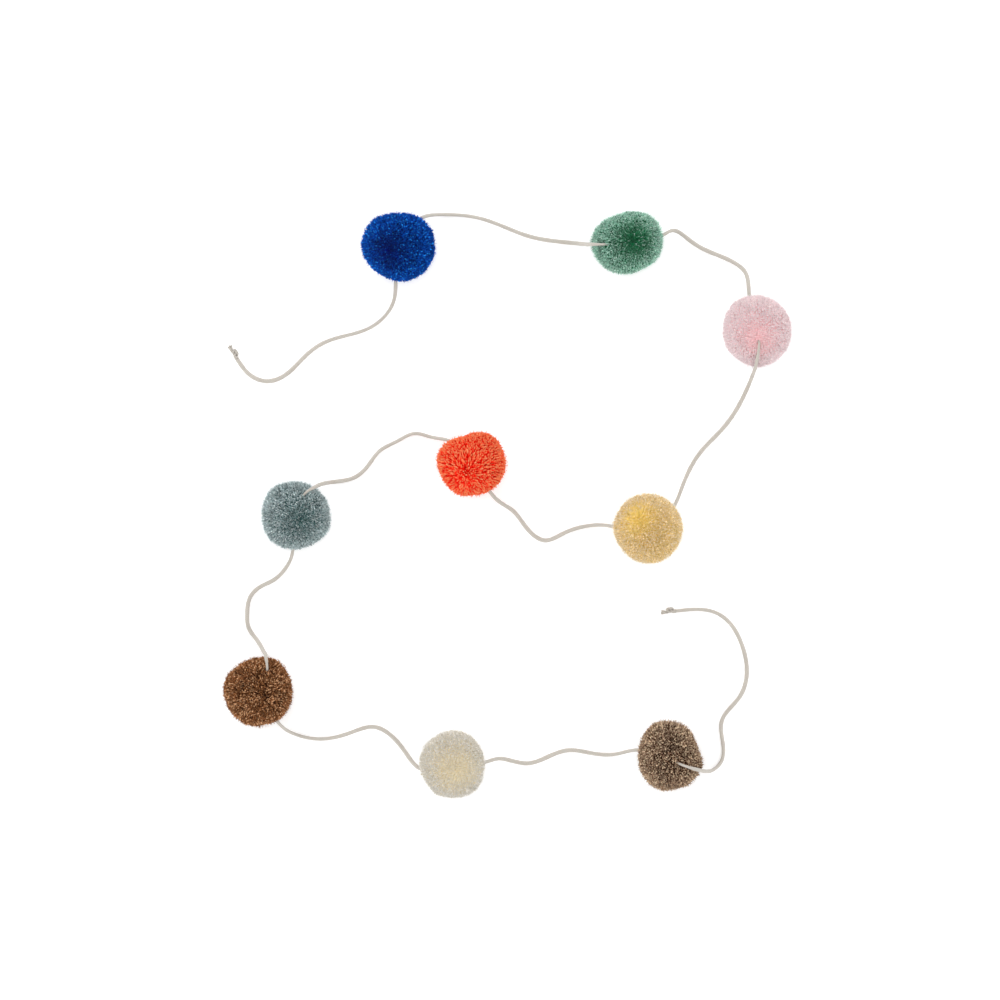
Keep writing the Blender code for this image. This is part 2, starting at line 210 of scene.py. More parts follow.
GREEN_TO_PINK = (
    (0.1552, 0.2701, 0.0240),
    (0.1664, 0.2750, 0.0130),
    (0.1830, 0.2651, 0.0030),
    (0.1946, 0.2576, CORD_REST),
    (0.2178, 0.2477, CORD_REST),
    (0.2353, 0.2369, 0.0050),
    (0.2415, 0.2095, 0.0260),
)
PINK_TO_YELLOW = (
    (0.2501, 0.1639, 0.0617),
    (0.2500, 0.1593, 0.0654),
    (0.2495, 0.1529, 0.0653),
    (0.2488, 0.1481, 0.0606),
    (0.2477, 0.1408, 0.0520),
    (0.2463, 0.1342, 0.0375),
    (0.2445, 0.1285, 0.0210),
    (0.2411, 0.1192, 0.0070),
    (0.2344, 0.1048, 0.0026),
    (0.2270, 0.0918, CORD_REST),
    (0.2140, 0.0748, CORD_REST),
    (0.1920, 0.0512, CORD_REST),
    (0.1745, 0.0173, 0.0090),
    (0.1658, -0.0022, 0.0240),
)
YELLOW_TO_ORANGE = (
    (0.1066, -0.0220, 0.0240),
    (0.0834, -0.0207, 0.0040),
    (0.0566, -0.0282, CORD_REST),
    (0.0370, -0.0357, CORD_REST),
    (0.0200, -0.0247, CORD_REST),
    (0.0049, -0.0059, CORD_REST),
    (-0.0059, 0.0012, 0.0090),
    (-0.0192, 0.0146, 0.0240),
)
ORANGE_TO_GREY = (
    (-0.0559, 0.0625, 0.0240),
    (-0.0791, 0.0685, 0.0030),
    (-0.0929, 0.0716, CORD_REST),
    (-0.1107, 0.0641, CORD_REST),
    (-0.1291, 0.0538, CORD_REST),
    (-0.1417, 0.0377, CORD_REST),
    (-0.1555, 0.0268, CORD_REST),
    (-0.1645, 0.0244, 0.0026),
    (-0.1760, 0.0228, 0.0070),
    (-0.1853, 0.0211, 0.0240),
    (-0.1910, 0.0188, 0.0400),
    (-0.1957, 0.0162, 0.0499),
    (-0.1998, 0.0137, 0.0546),
    (-0.2044, 0.0092, 0.0547),
    (-0.2066, 0.0052, 0.0510),
)
GREY_TO_BROWN = (
    (-0.2152, -0.0443, 0.0230),
    (-0.2221, -0.0621, 0.0060),
    (-0.2347, -0.0752, CORD_REST),
    (-0.2500, -0.0832, CORD_REST),
    (-0.2590, -0.0932, CORD_REST),
    (-0.2618, -0.1092, CORD_REST),
    (-0.2602, -0.1236, 0.0024),
    (-0.2547, -0.1320, 0.0040),
    (-0.2486, -0.1403, 0.0120),
    (-0.2443, -0.1471, 0.0270),
    (-0.2421, -0.1500, 0.0390),
    (-0.2414, -0.1540, 0.0488),
    (-0.2405, -0.1587, 0.0535),
    (-0.2402, -0.1652, 0.0536),
    (-0.2409, -0.1697, 0.0499),
)
BROWN_TO_CREAM = (
    (-0.2315, -0.2165, 0.0230),
    (-0.2182, -0.2282, 0.0060),
    (-0.1958, -0.2347, CORD_REST),
    (-0.1565, -0.2282, CORD_REST),
    (-0.1340, -0.2230, CORD_REST),
    (-0.1172, -0.2317, CORD_REST),
    (-0.1025, -0.2490, 0.0040),
    (-0.0848, -0.2649, 0.0230),
)
CREAM_TO_TAUPE = (
    (-0.0241, -0.2579, 0.0230),
    (-0.0070, -0.2547, 0.0060),
    (0.0190, -0.2595, CORD_REST),
    (0.0407, -0.2527, CORD_REST),
    (0.0604, -0.2464, CORD_REST),
    (0.0856, -0.2496, CORD_REST),
    (0.1040, -0.2507, 0.0040),
    (0.1303, -0.2454, 0.0240),
)
END_TAIL = (
    (0.1692, -0.2573, 0.0589),
    (0.1734, -0.2591, 0.0626),
    (0.1795, -0.2613, 0.0625),
    (0.1841, -0.2628, 0.0578),
    (0.1908, -0.2648, 0.0484),
    (0.1960, -0.2662, 0.0360),
    (0.1998, -0.2668, 0.0230),
    (0.2068, -0.2652, 0.0070),
    (0.2137, -0.2584, 0.0026),
    (0.2163, -0.2482, CORD_REST),
    (0.2154, -0.2370, CORD_REST),
    (0.2145, -0.2176, CORD_REST),
    (0.2328, -0.1923, CORD_REST),
    (0.2397, -0.1701, CORD_REST),
    (0.2344, -0.1395, CORD_REST),
    (0.2206, -0.1165, CORD_REST),
    (0.2099, -0.1089, CORD_REST),
    (0.1838, -0.1052, CORD_REST),
    (0.1692, -0.1066, CORD_REST),
)
STRETCHES = (
    START_TAIL,
    BLUE_TO_GREEN,
    GREEN_TO_PINK,
    PINK_TO_YELLOW,
    YELLOW_TO_ORANGE,
    ORANGE_TO_GREY,
    GREY_TO_BROWN,
    BROWN_TO_CREAM,
    CREAM_TO_TAUPE,
    END_TAIL,
)


def linear(colour: Colour) -> Colour:
    """Turn an sRGB colour into the linear values that a shader takes."""
    return tuple(c / 12.92 if c <= 0.04045 else ((c + 0.055) / 1.055) ** 2.4 for c in colour)


def unit(vectors: np.ndarray) -> np.ndarray:
    """Bring each row of an array of vectors to length 1."""
    return vectors / np.linalg.norm(vectors, axis=-1, keepdims=True)


def pointing(azimuth: float, elevation: float) -> np.ndarray:
    """The unit direction of an azimuth and an elevation in degrees."""
    around, up = math.radians(azimuth), math.radians(elevation)
    return np.array((math.cos(around) * math.cos(up), math.sin(around) * math.cos(up), math.sin(up)))


def across(axes: np.ndarray) -> tuple[np.ndarray, np.ndarray]:
    """Two directions square to each axis and to each other.

    Args:
        axes: unit vectors, one a row.

    Returns:
        The two sets of unit vectors.
    """
    helper = np.where(np.abs(axes[:, 2:3]) < STEEP, UP, SIDEWAYS)
    first = unit(np.cross(helper, axes))
    return first, np.cross(axes, first)


def smooth_line(points: np.ndarray, step: float) -> np.ndarray:
    """Read the natural cubic curve through some points.

    Args:
        points: the points, one a row.
        step: the distance between the places that are read.

    Returns:
        The places read, one a row.
    """
    knots = np.concatenate([[0.0], np.cumsum(np.linalg.norm(np.diff(points, axis=0), axis=1))])
    gaps = np.diff(knots)
    slopes = np.diff(points, axis=0) / gaps[:, None]
    count = len(points)
    system = np.eye(count)
    sides = np.zeros_like(points)
    for row in range(1, count - 1):
        system[row, row - 1 : row + 2] = (gaps[row - 1], 2 * (gaps[row - 1] + gaps[row]), gaps[row])
        sides[row] = 6 * (slopes[row] - slopes[row - 1])
    bends = np.linalg.solve(system, sides)
    along = np.linspace(0.0, knots[-1], int(knots[-1] / step))
    span = np.clip(np.searchsorted(knots, along, side="right") - 1, 0, count - 2)
    gap = gaps[span][:, None]
    after = along[:, None] - knots[span][:, None]
    before = gap - after
    ends = (points[span] / gap - bends[span] * gap / 6) * before
    ends += (points[span + 1] / gap - bends[span + 1] * gap / 6) * after
    return ends + (bends[span] * before**3 + bends[span + 1] * after**3) / (6 * gap)


class Value:
    """A number in a material's nodes, with Python's operators for the sums on it."""

    def __init__(self, shader: "Nodes", socket: bpy.types.NodeSocket) -> None:
        """Keep the socket and the shader that it belongs to."""
        self.shader = shader
        self.socket = socket

    def maths(self, operation: str, *values: "Value | float") -> "Value":
        """The result of a Math node with an operation and the values for its sockets, in order."""
        node = self.shader.node("ShaderNodeMath", {"operation": operation}, dict(enumerate(values)))
        return Value(self.shader, node.outputs[0])

    def __add__(self, other: "Value | float") -> "Value":
        """The sum."""
        return self.maths("ADD", self, other)

    def __radd__(self, other: float) -> "Value":
        """The sum, with a number first."""
        return self.maths("ADD", other, self)

    def __sub__(self, other: "Value | float") -> "Value":
        """The difference."""
        return self.maths("SUBTRACT", self, other)

    def __rsub__(self, other: float) -> "Value":
        """The difference, with a number first."""
        return self.maths("SUBTRACT", other, self)

    def __mul__(self, other: "Value | float") -> "Value":
        """The product."""
        return self.maths("MULTIPLY", self, other)

    def __rmul__(self, other: float) -> "Value":
        """The product, with a number first."""
        return self.maths("MULTIPLY", other, self)

    def sine(self) -> "Value":
        """The sine, in radians."""
        return self.maths("SINE", self)

    def above(self, edge: float) -> "Value":
        """1 where the value is over the edge, otherwise 0."""
        return self.maths("GREATER_THAN", self, edge)

    def largest(self, other: "Value | float") -> "Value":
        """The larger of two values."""
        return self.maths("MAXIMUM", self, other)


class Nodes:
    """The nodes of a material or of the world."""

    def __init__(self, tree: bpy.types.NodeTree) -> None:
        """Keep the node tree."""
        self.tree = tree

    def node(self, kind: str, settings: dict, values: dict) -> bpy.types.Node:
        """Add a node.

        Args:
            kind: the node's type.
            settings: what is set on the node itself, first.
            values: what its sockets get, by name or number: a value, a socket or a Value.

        Returns:
            The node.
        """
        made = self.tree.nodes.new(kind)
        for name, setting in settings.items():
            setattr(made, name, setting)
        for name, value in values.items():
            self.feed(made.inputs[name], value)
        return made

    def feed(self, socket: bpy.types.NodeSocket, value: object) -> None:
        """Link a socket to a Value or another socket, or set it.

        Args:
            socket: the socket.
            value: what it gets.
        """
        if isinstance(value, Value):
            value = value.socket
        if isinstance(value, bpy.types.NodeSocket):
            self.tree.links.new(value, socket)
        else:
            socket.default_value = value

    def parted(self, vector: bpy.types.NodeSocket) -> tuple[Value, Value, Value]:
        """The three numbers of a vector."""
        node = self.node("ShaderNodeSeparateXYZ", {}, {0: vector})
        return tuple(Value(self, output) for output in node.outputs)

    def noise(self, place: bpy.types.NodeSocket, scale: float, detail: float) -> Value:
        """Fine noise, from 0 to 1, over an object's own place."""
        node = self.node("ShaderNodeTexNoise", {}, {"Vector": place, "Scale": scale, "Detail": detail})
        return Value(self, node.outputs["Fac"])

    def ramp(self, value: Value, low: float, high: float) -> Value:
        """A smooth rise from 0 to 1.

        Args:
            value: what rises.
            low: where the rise starts.
            high: where it ends.

        Returns:
            The rise.
        """
        settings = {"interpolation_type": "SMOOTHSTEP"}
        node = self.node("ShaderNodeMapRange", settings, {"Value": value, "From Min": low, "From Max": high})
        return Value(self, node.outputs["Result"])

    def place(self) -> bpy.types.NodeSocket:
        """The object's own coordinates, in metres."""
        return self.node("ShaderNodeTexCoord", {}, {}).outputs["Object"]

    def mix(self, share: Value, first: object, second: object) -> bpy.types.NodeSocket:
        """Mix two colours.

        Args:
            share: how much of the second there is, from 0 to 1.
            first: a colour or its socket.
            second: a colour or its socket.

        Returns:
            The mixed colour's socket.
        """
        ends = [(*linear(colour), 1) if isinstance(colour, tuple) else colour for colour in (first, second)]
        node = self.node("ShaderNodeMix", {"data_type": "RGBA"}, {0: share, 6: ends[0], 7: ends[1]})
        return node.outputs[2]

    def scaled(self, colour: bpy.types.NodeSocket, factor: Value) -> bpy.types.NodeSocket:
        """A colour made lighter or darker by a factor."""
        node = self.node("ShaderNodeVectorMath", {"operation": "SCALE"}, {0: colour, "Scale": factor})
        return node.outputs[0]

    def bump(self, height: Value, distance: float) -> bpy.types.NodeSocket:
        """The normal of a fine relief that is so many metres deep."""
        return self.node("ShaderNodeBump", {}, {"Height": height, "Distance": distance}).outputs["Normal"]


class Shader(Nodes):
    """A material and its nodes."""

    def __init__(self, name: str) -> None:
        """Start a material with a Principled shader.

        Args:
            name: the material's name.
        """
        self.material = bpy.data.materials.new(name)
        self.material.use_nodes = True
        super().__init__(self.material.node_tree)
        self.surface = self.tree.nodes["Principled BSDF"]

    def surfaced(self, **values: object) -> bpy.types.Material:
        """Set or link the Principled shader's sockets.

        Args:
            **values: what each socket gets, by its name with _ for a space.

        Returns:
            The finished material.
        """
        for name, value in values.items():
            self.feed(self.surface.inputs[name.replace("_", " ")], value)
        return self.material


@dataclass(frozen=True)
class YarnFinish:
    """Dyed yarn with painted light: its colour low in the pile, painted shade and bounced light; on a ply's
    side, paler with painted sheen; at its cut end, richer with painted shade; and in its odd flecks.
    """

    # The first three colours are painted light: shade and bounced light low in the pile, sheen on a ply's
    # side, shade at its cut end
    depth_shading: Colour
    side: Colour
    cut: Colour
    fleck: Colour
    flecked: float
    uneven: float
    sheen: float = 0.30
    # Heights over which the painted shade low in the pile gives way to the side's painted sheen, and then to
    # the cut end's painted shade
    shown: Span = (0.62, 0.93)
    ends_shown: Span = (0.93, 0.97)
    mingled: float = 0.0
    # How far the loose fibres are painted paler, towards white, as if lit from behind
    backlit_halo: float = 0.0
    gloss: float = 0.15
    fibre_scale: float = 2600.0
    fibre_contrast: float = 0.3
    fibre_depth: float = 0.0003
    cloud_scale: float = 90.0
    cloud_contrast: float = 0.8

    def make(self, name: str) -> bpy.types.Material:
        """Make the material.

        Args:
            name: the material's name.

        Returns:
            The material, which reads each strand's height, shade and tone from its mesh.
        """
        shader = Shader(name)
        strand = shader.node("ShaderNodeAttribute", {"attribute_name": "strand"}, {})
        height, shade, tone = shader.parted(strand.outputs["Vector"])
        fibre = shader.noise(shader.place(), self.fibre_scale, SOFT_DETAIL)
        # Painted shade: low on each ply the colour is the pile's depth colour, giving way higher up to the
        # side colour
        risen = shader.ramp(height + self.mingled * (shade - 0.5), *self.shown)
        # Painted shade and sheen: the tip takes the cut end's richer colour, the ply's side below it the
        # paler sheen colour
        ended = shader.ramp(height, *self.ends_shown)
        # Painted light: loose fibres are paled towards white, as if lit from behind
        loose = tuple(c + (1 - c) * self.backlit_halo for c in self.side)
        colour = shader.mix(risen, self.depth_shading, self.side)
        colour = shader.mix(ended, colour, self.cut)
        colour = shader.mix(tone.above(1 - self.flecked) * risen, colour, self.fleck)
        colour = shader.mix(tone.above(LOOSE_TONE), colour, loose)
        cloud = shader.noise(shader.place(), self.cloud_scale, SOFT_DETAIL)
        light = (1 - self.uneven / 2) + self.uneven * shade
        light += self.fibre_contrast * (fibre - 0.5)
        light += self.uneven * self.cloud_contrast * (cloud - 0.5)
        return shader.surfaced(
            Base_Color=shader.scaled(colour, light),
            Roughness=0.95,
            Specular_IOR_Level=self.gloss,
            Sheen_Weight=self.sheen,
            Sheen_Roughness=0.5,
            Sheen_Tint=(*linear(self.side), 1),
            Normal=shader.bump(fibre, self.fibre_depth),
        )


@dataclass(frozen=True)
class CottonFinish:
    """Off-white knitted cotton, with its plaited stitches, painted shade in the grooves between them, and
    soft fibres.
    """

    thread: Colour = (0.825, 0.80, 0.765)
    # The gap colour is painted shade in the grooves between stitches
    gap: Colour = (0.59, 0.565, 0.53)
    stitches: float = 8.0
    stitch_length: float = 0.0021
    lightness: float = 0.35
    plait_shading: float = 0.4
    plait_relief: float = 0.5
    fibre_scale: float = 2200.0
    fibre_contrast: float = 0.35
    fibre_relief: float = 0.6
    cloud_scale: float = 60.0
    cloud_contrast: float = 0.3
    relief_depth: float = 0.00022

    def make(self, name: str) -> bpy.types.Material:
        """Make the material.

        Args:
            name: the material's name.

        Returns:
            The material, which reads the turns round the cord and the metres along it from its mesh.
        """
        shader = Shader(name)
        lay = shader.node("ShaderNodeUVMap", {"uv_map": "lay"}, {})
        around, along, _ = shader.parted(lay.outputs["UV"])
        turned = around * (math.tau * self.stitches)
        risen = along * (math.tau / self.stitch_length)
        plait = (turned + risen).sine().largest((turned - risen).sine())
        fibre = shader.noise(shader.place(), self.fibre_scale, FINE_DETAIL)
        cloud = shader.noise(shader.place(), self.cloud_scale, SOFT_DETAIL)
        relief = plait * self.plait_relief + fibre * self.fibre_relief
        # Painted shade: the plait darkens the grooves between stitches towards the gap colour
        share = self.lightness + self.plait_shading * plait
        share += self.fibre_contrast * (fibre - 0.5)
        share += self.cloud_contrast * (cloud - 0.5)
        return shader.surfaced(
            Base_Color=shader.mix(share, self.gap, self.thread),
            Roughness=0.85,
            Specular_IOR_Level=0.25,
            Sheen_Weight=0.25,
            Sheen_Roughness=0.4,
            Normal=shader.bump(relief, self.relief_depth),
        )


@dataclass(frozen=True)
class FloorFinish:
    """The plain, matt, nearly white surface under the garland."""

    colour: Colour = (0.97, 0.97, 0.97)
    glow: float = 0.2
    grain_scale: float = 30.0
    darkest: float = 0.99

    def make(self, name: str) -> bpy.types.Material:
        """Make the material, with a slight unevenness.

        Args:
            name: the material's name.

        Returns:
            The material.
        """
        shader = Shader(name)
        grain = shader.noise(shader.place(), self.grain_scale, FINE_DETAIL)
        shade = shader.mix(grain, self.colour, tuple(self.darkest * c for c in self.colour))
        return shader.surfaced(
            Base_Color=shade,
            Roughness=0.9,
            Specular_IOR_Level=0.1,
            Emission_Color=(*self.colour, 1),
            Emission_Strength=self.glow,
        )


@dataclass
class Faces:
    """Faces with the same number of corners: their vertices, and each corner's place on the bake map."""

    corners: np.ndarray
    places: np.ndarray


@dataclass
class Solid:
    """Vertices and faces that become one mesh object.

    strand holds each vertex's height in its strand, shade and tone; lay holds each corner's turns round the
    cord and metres along it.
    """

    vertices: np.ndarray
    faces: list[Faces]
    strand: np.ndarray | None = None
    lay: list[np.ndarray] | None = None

    def joined(self, other: "Solid") -> "Solid":
        """Join this solid and another.

        Args:
            other: the other solid, with the same kinds of facts.

        Returns:
            Both as one.
        """
        moved = [Faces(f.corners + len(self.vertices), f.places) for f in other.faces]
        strand = None if self.strand is None else np.concatenate([self.strand, other.strand])
        lay = None if self.lay is None else self.lay + other.lay
        return Solid(np.concatenate([self.vertices, other.vertices]), self.faces + moved, strand, lay)

    def make(self, name: str, material: bpy.types.Material) -> bpy.types.Object:
        """Make the mesh object, smooth shaded.

        Args:
            name: the object's name.
            material: its one material.

        Returns:
            The object, linked to the scene.
        """
        mesh = bpy.data.meshes.new(name)
        sizes = np.concatenate([np.full(len(f.corners), f.corners.shape[1]) for f in self.faces])
        corners = np.concatenate([f.corners.ravel() for f in self.faces])
        mesh.vertices.add(len(self.vertices))
        mesh.vertices.foreach_set("co", self.vertices.astype(np.float32).ravel())
        mesh.loops.add(len(corners))
        mesh.loops.foreach_set("vertex_index", corners.astype(np.int32))
        mesh.polygons.add(len(sizes))
        mesh.polygons.foreach_set("loop_start", (np.cumsum(sizes) - sizes).astype(np.int32))
        mesh.update(calc_edges=True)
        mesh.polygons.foreach_set("use_smooth", np.ones(len(sizes), bool))
        maps = {"OFBake": [f.places for f in self.faces]}
        if self.lay is not None:
            maps["lay"] = self.lay
        for title, places in maps.items():
            layer = mesh.uv_layers.new(name=title)
            spots = np.concatenate([p.reshape(-1, 2) for p in places])
            layer.uv.foreach_set("vector", spots.astype(np.float32).ravel())
        if self.strand is not None:
            facts = mesh.attributes.new("strand", "FLOAT_VECTOR", "POINT")
            facts.data.foreach_set("vector", self.strand.astype(np.float32).ravel())
        mesh.validate()
        mesh.materials.append(material)
        made = bpy.data.objects.new(name, mesh)
        bpy.context.scene.collection.objects.link(made)
        return made


@dataclass
class Strands:
    """Many thin strands, such as plies or loose fibres: columns with a closed root and a rounded end.

    Each strand runs from its root past its bend to its tip, and is cut at its own share of that way.
    """

    roots: np.ndarray
    bends: np.ndarray
    tips: np.ndarray
    radii: np.ndarray
    cut: np.ndarray
    # How much of each strand's colour is the painted shade of the pile's depth
    depth_shading: np.ndarray
    shade: np.ndarray
    tone: np.ndarray
    sides: int
    rings: Rings

    def at(self, share: np.ndarray) -> np.ndarray:
        """The places of all the strands along their way.

        Args:
            share: each strand's own share of its whole way.

        Returns:
            The places, one a row.
        """
        share = share[:, None]
        bent = 2 * share * (1 - share) * self.bends
        return (1 - share) ** 2 * self.roots + bent + share**2 * self.tips

    def kept(self, keep: np.ndarray) -> "Strands":
        """Only the strands that are marked."""
        arrays = (self.roots, self.bends, self.tips, self.radii, self.cut, self.depth_shading, self.shade, self.tone)
        return Strands(*(array[keep] for array in arrays), self.sides, self.rings)

    def solid(self, turn: np.ndarray, floor: float) -> Solid:
        """Build the strands.

        Args:
            turn: how far each strand is turned about itself, in radians.
            floor: the lowest height that a vertex may have.

        Returns:
            The solid, with each vertex's height in its strand, shade and tone.
        """
        count, sides = len(self.radii), self.sides
        first, second = across(unit(self.tips - self.roots))
        around = turn[:, None] + np.arange(sides) * math.tau / sides
        out = np.cos(around)[..., None] * first[:, None] + np.sin(around)[..., None] * second[:, None]
        levels = [share for share, _ in self.rings]
        rings = []
        for share, width in self.rings:
            thickness = (width * self.radii)[:, None, None]
            rings.append(self.at(share * self.cut)[:, None] + thickness * out)
        vertices = np.concatenate([*rings, self.at(self.cut)[:, None]], axis=1)
        vertices[..., 2] = np.maximum(vertices[..., 2], floor)
        each = sides * len(rings) + 1
        height = np.concatenate([np.repeat(levels, sides), [1.0]])
        facts = np.empty((count, each, 3))
        # Painted shade: a strand's share of the depth colour makes its colour read lower in the pile
        facts[..., 0] = height * (self.cut * (1 - self.depth_shading))[:, None]
        facts[..., 1] = self.shade[:, None]
        facts[..., 2] = self.tone[:, None]

        start = (np.arange(count) * each)[:, None, None]
        side = np.arange(sides)
        after = (side + 1) % sides
        walls = []
        for ring in range(len(rings) - 1):
            low, high = ring * sides, (ring + 1) * sides
            walls.append(np.stack([low + side, low + after, high + after, high + side], axis=1))
        last = (len(rings) - 1) * sides
        ends = np.stack([last + side, last + after, np.full(sides, each - 1)], axis=1)
        bases = side[::-1][None]
        cells = self.cells(count)
        walls_at = [self.wall_places(ring, levels) for ring in range(len(rings) - 1)]
        ends_across = np.stack([side / sides, (side + 1) / sides, (side + 0.5) / sides], axis=1)
        ends_up = np.tile((levels[-1], levels[-1], 1.0), (sides, 1))
        ends_at = np.stack([ends_across, ends_up], axis=2)
        base_at = np.stack([side / sides, PLY_MAP_ROOT * (side % 2)], axis=1)[None]
        groups = []
        for corners, places in (
            (np.concatenate(walls), np.concatenate(walls_at)),
            (ends, ends_at),
            (bases, base_at),
        ):
            used = (start + corners[None]).reshape(-1, corners.shape[1])
            spots = cells[:, None, None] + places[None] * self.cell_size(count)
            groups.append(Faces(used, spots.reshape(-1, corners.shape[1], 2)))
        return Solid(vertices.reshape(-1, 3), groups, strand=facts.reshape(-1, 3))

    def wall_places(self, ring: int, levels: list[float]) -> np.ndarray:
        """Where one ring of a strand's walls lies in its cell of the bake map.

        Args:
            ring: the ring's number, from the root.
            levels: the share of the way at which each ring lies.

        Returns:
            The places of the four corners of each wall.
        """
        side = np.arange(self.sides)
        left, right = side / self.sides, (side + 1) / self.sides
        low, high = np.full(self.sides, levels[ring]), np.full(self.sides, levels[ring + 1])
        corners = ((left, low), (right, low), (right, high), (left, high))
        return np.stack([np.stack(corner, axis=1) for corner in corners], axis=1)

    def grid(self, count: int) -> int:
        """How many cells the bake map has along one side, a row of them spare for the core."""
        return math.ceil(math.sqrt(count)) + 1

    def cell_size(self, count: int) -> float:
        """The side of one cell's used part."""
        return PLY_MAP_USED / self.grid(count)

    def cells(self, count: int) -> np.ndarray:
        """The lower left corner of each strand's cell.

        Args:
            count: how many strands there are.

        Returns:
            The corners, one a row.
        """
        grid = self.grid(count)
        number = np.arange(count)
        return np.stack([number % grid, number // grid], axis=1) / grid


@dataclass
class CordLine:
    """The cord's centreline, and its radius at each point."""

    points: np.ndarray
    radii: np.ndarray

    def kept(self, keep: np.ndarray) -> "CordLine":
        """Only the points that are marked, and of those every second one."""
        return CordLine(self.points[keep][::2], self.radii[keep][::2])

    def gaps(self, spots: np.ndarray) -> tuple[np.ndarray, np.ndarray]:
        """The distance from the cord's surface to each spot, and the centreline's point nearest to it."""
        apart = np.linalg.norm(spots[:, None] - self.points[None], axis=2) - self.radii
        return apart.min(axis=1), self.points[apart.argmin(axis=1)]


@dataclass(frozen=True)
class Form:
    """A lump (size above 0) or a hollow (below 0) in a pom-pom's trimmed surface; degrees and metres."""

    azimuth: float
    elevation: float
    size: float
    breadth: float


@dataclass(frozen=True)
class Whorl:
    """A crown where the pile opens and leans outwards all round, and its depth shows, with more painted
    shade on its plies; degrees and metres.
    """

    azimuth: float
    elevation: float
    opening: float
    lean: float
    breadth: float
    hollow: float = 0.0
    # How much more of the painted shade of the pile's depth the plies near the crown take
    shade_deepened: float = 0.0


@dataclass(frozen=True)
class Crease:
    """A furrow down a pom-pom at one azimuth, between two elevations, with more painted shade on its plies;
    degrees and metres.
    """

    azimuth: float
    low: float
    high: float
    width: float
    depth: float
    opening: float
    # How much more of the painted shade of the pile's depth the plies near the furrow take
    shade_deepened: float = 0.0


@dataclass(frozen=True)
class Pile:
    """How a pile of cut yarn is made up, in metres; root and core are shares of the ball's radius."""

    spacing: float
    ply_radius: float
    sides: int
    rings: Rings
    uneven: float
    tufted: float
    root: float
    core: float
    tilt: float
    loose: int
    wave: float = 0.0
    scatter: float = 0.22
    loose_radius: float = 0.00019


class Yarn(Enum):
    """The weights of yarn."""

    # spacing, ply radius, sides, rings, uneven, tufted, root, core, tilt
    FINE = Pile(0.00135, 0.00066, 3, SLIM_PLY, 0.00080, 0.00050, 0.78, 0.86, 0.10, loose=700)
    BRUSHED = Pile(0.00135, 0.00066, 3, SLIM_PLY, 0.00080, 0.00050, 0.78, 0.86, 0.10, loose=1900)
    SOFT = Pile(0.00135, 0.00081, 3, FULL_PLY, 0.00060, 0.00045, 0.80, 0.90, 0.08, loose=1900)
    MEDIUM = Pile(0.00142, 0.00066, 3, SLIM_PLY, 0.00066, 0.00042, 0.76, 0.85, 0.09, loose=900)
    CHUNKY = Pile(
        0.00212, 0.00082, 4, ROUNDED_PLY, 0.00050, 0.00032, 0.62, 0.83, 0.05, loose=500, wave=0.0016
    )


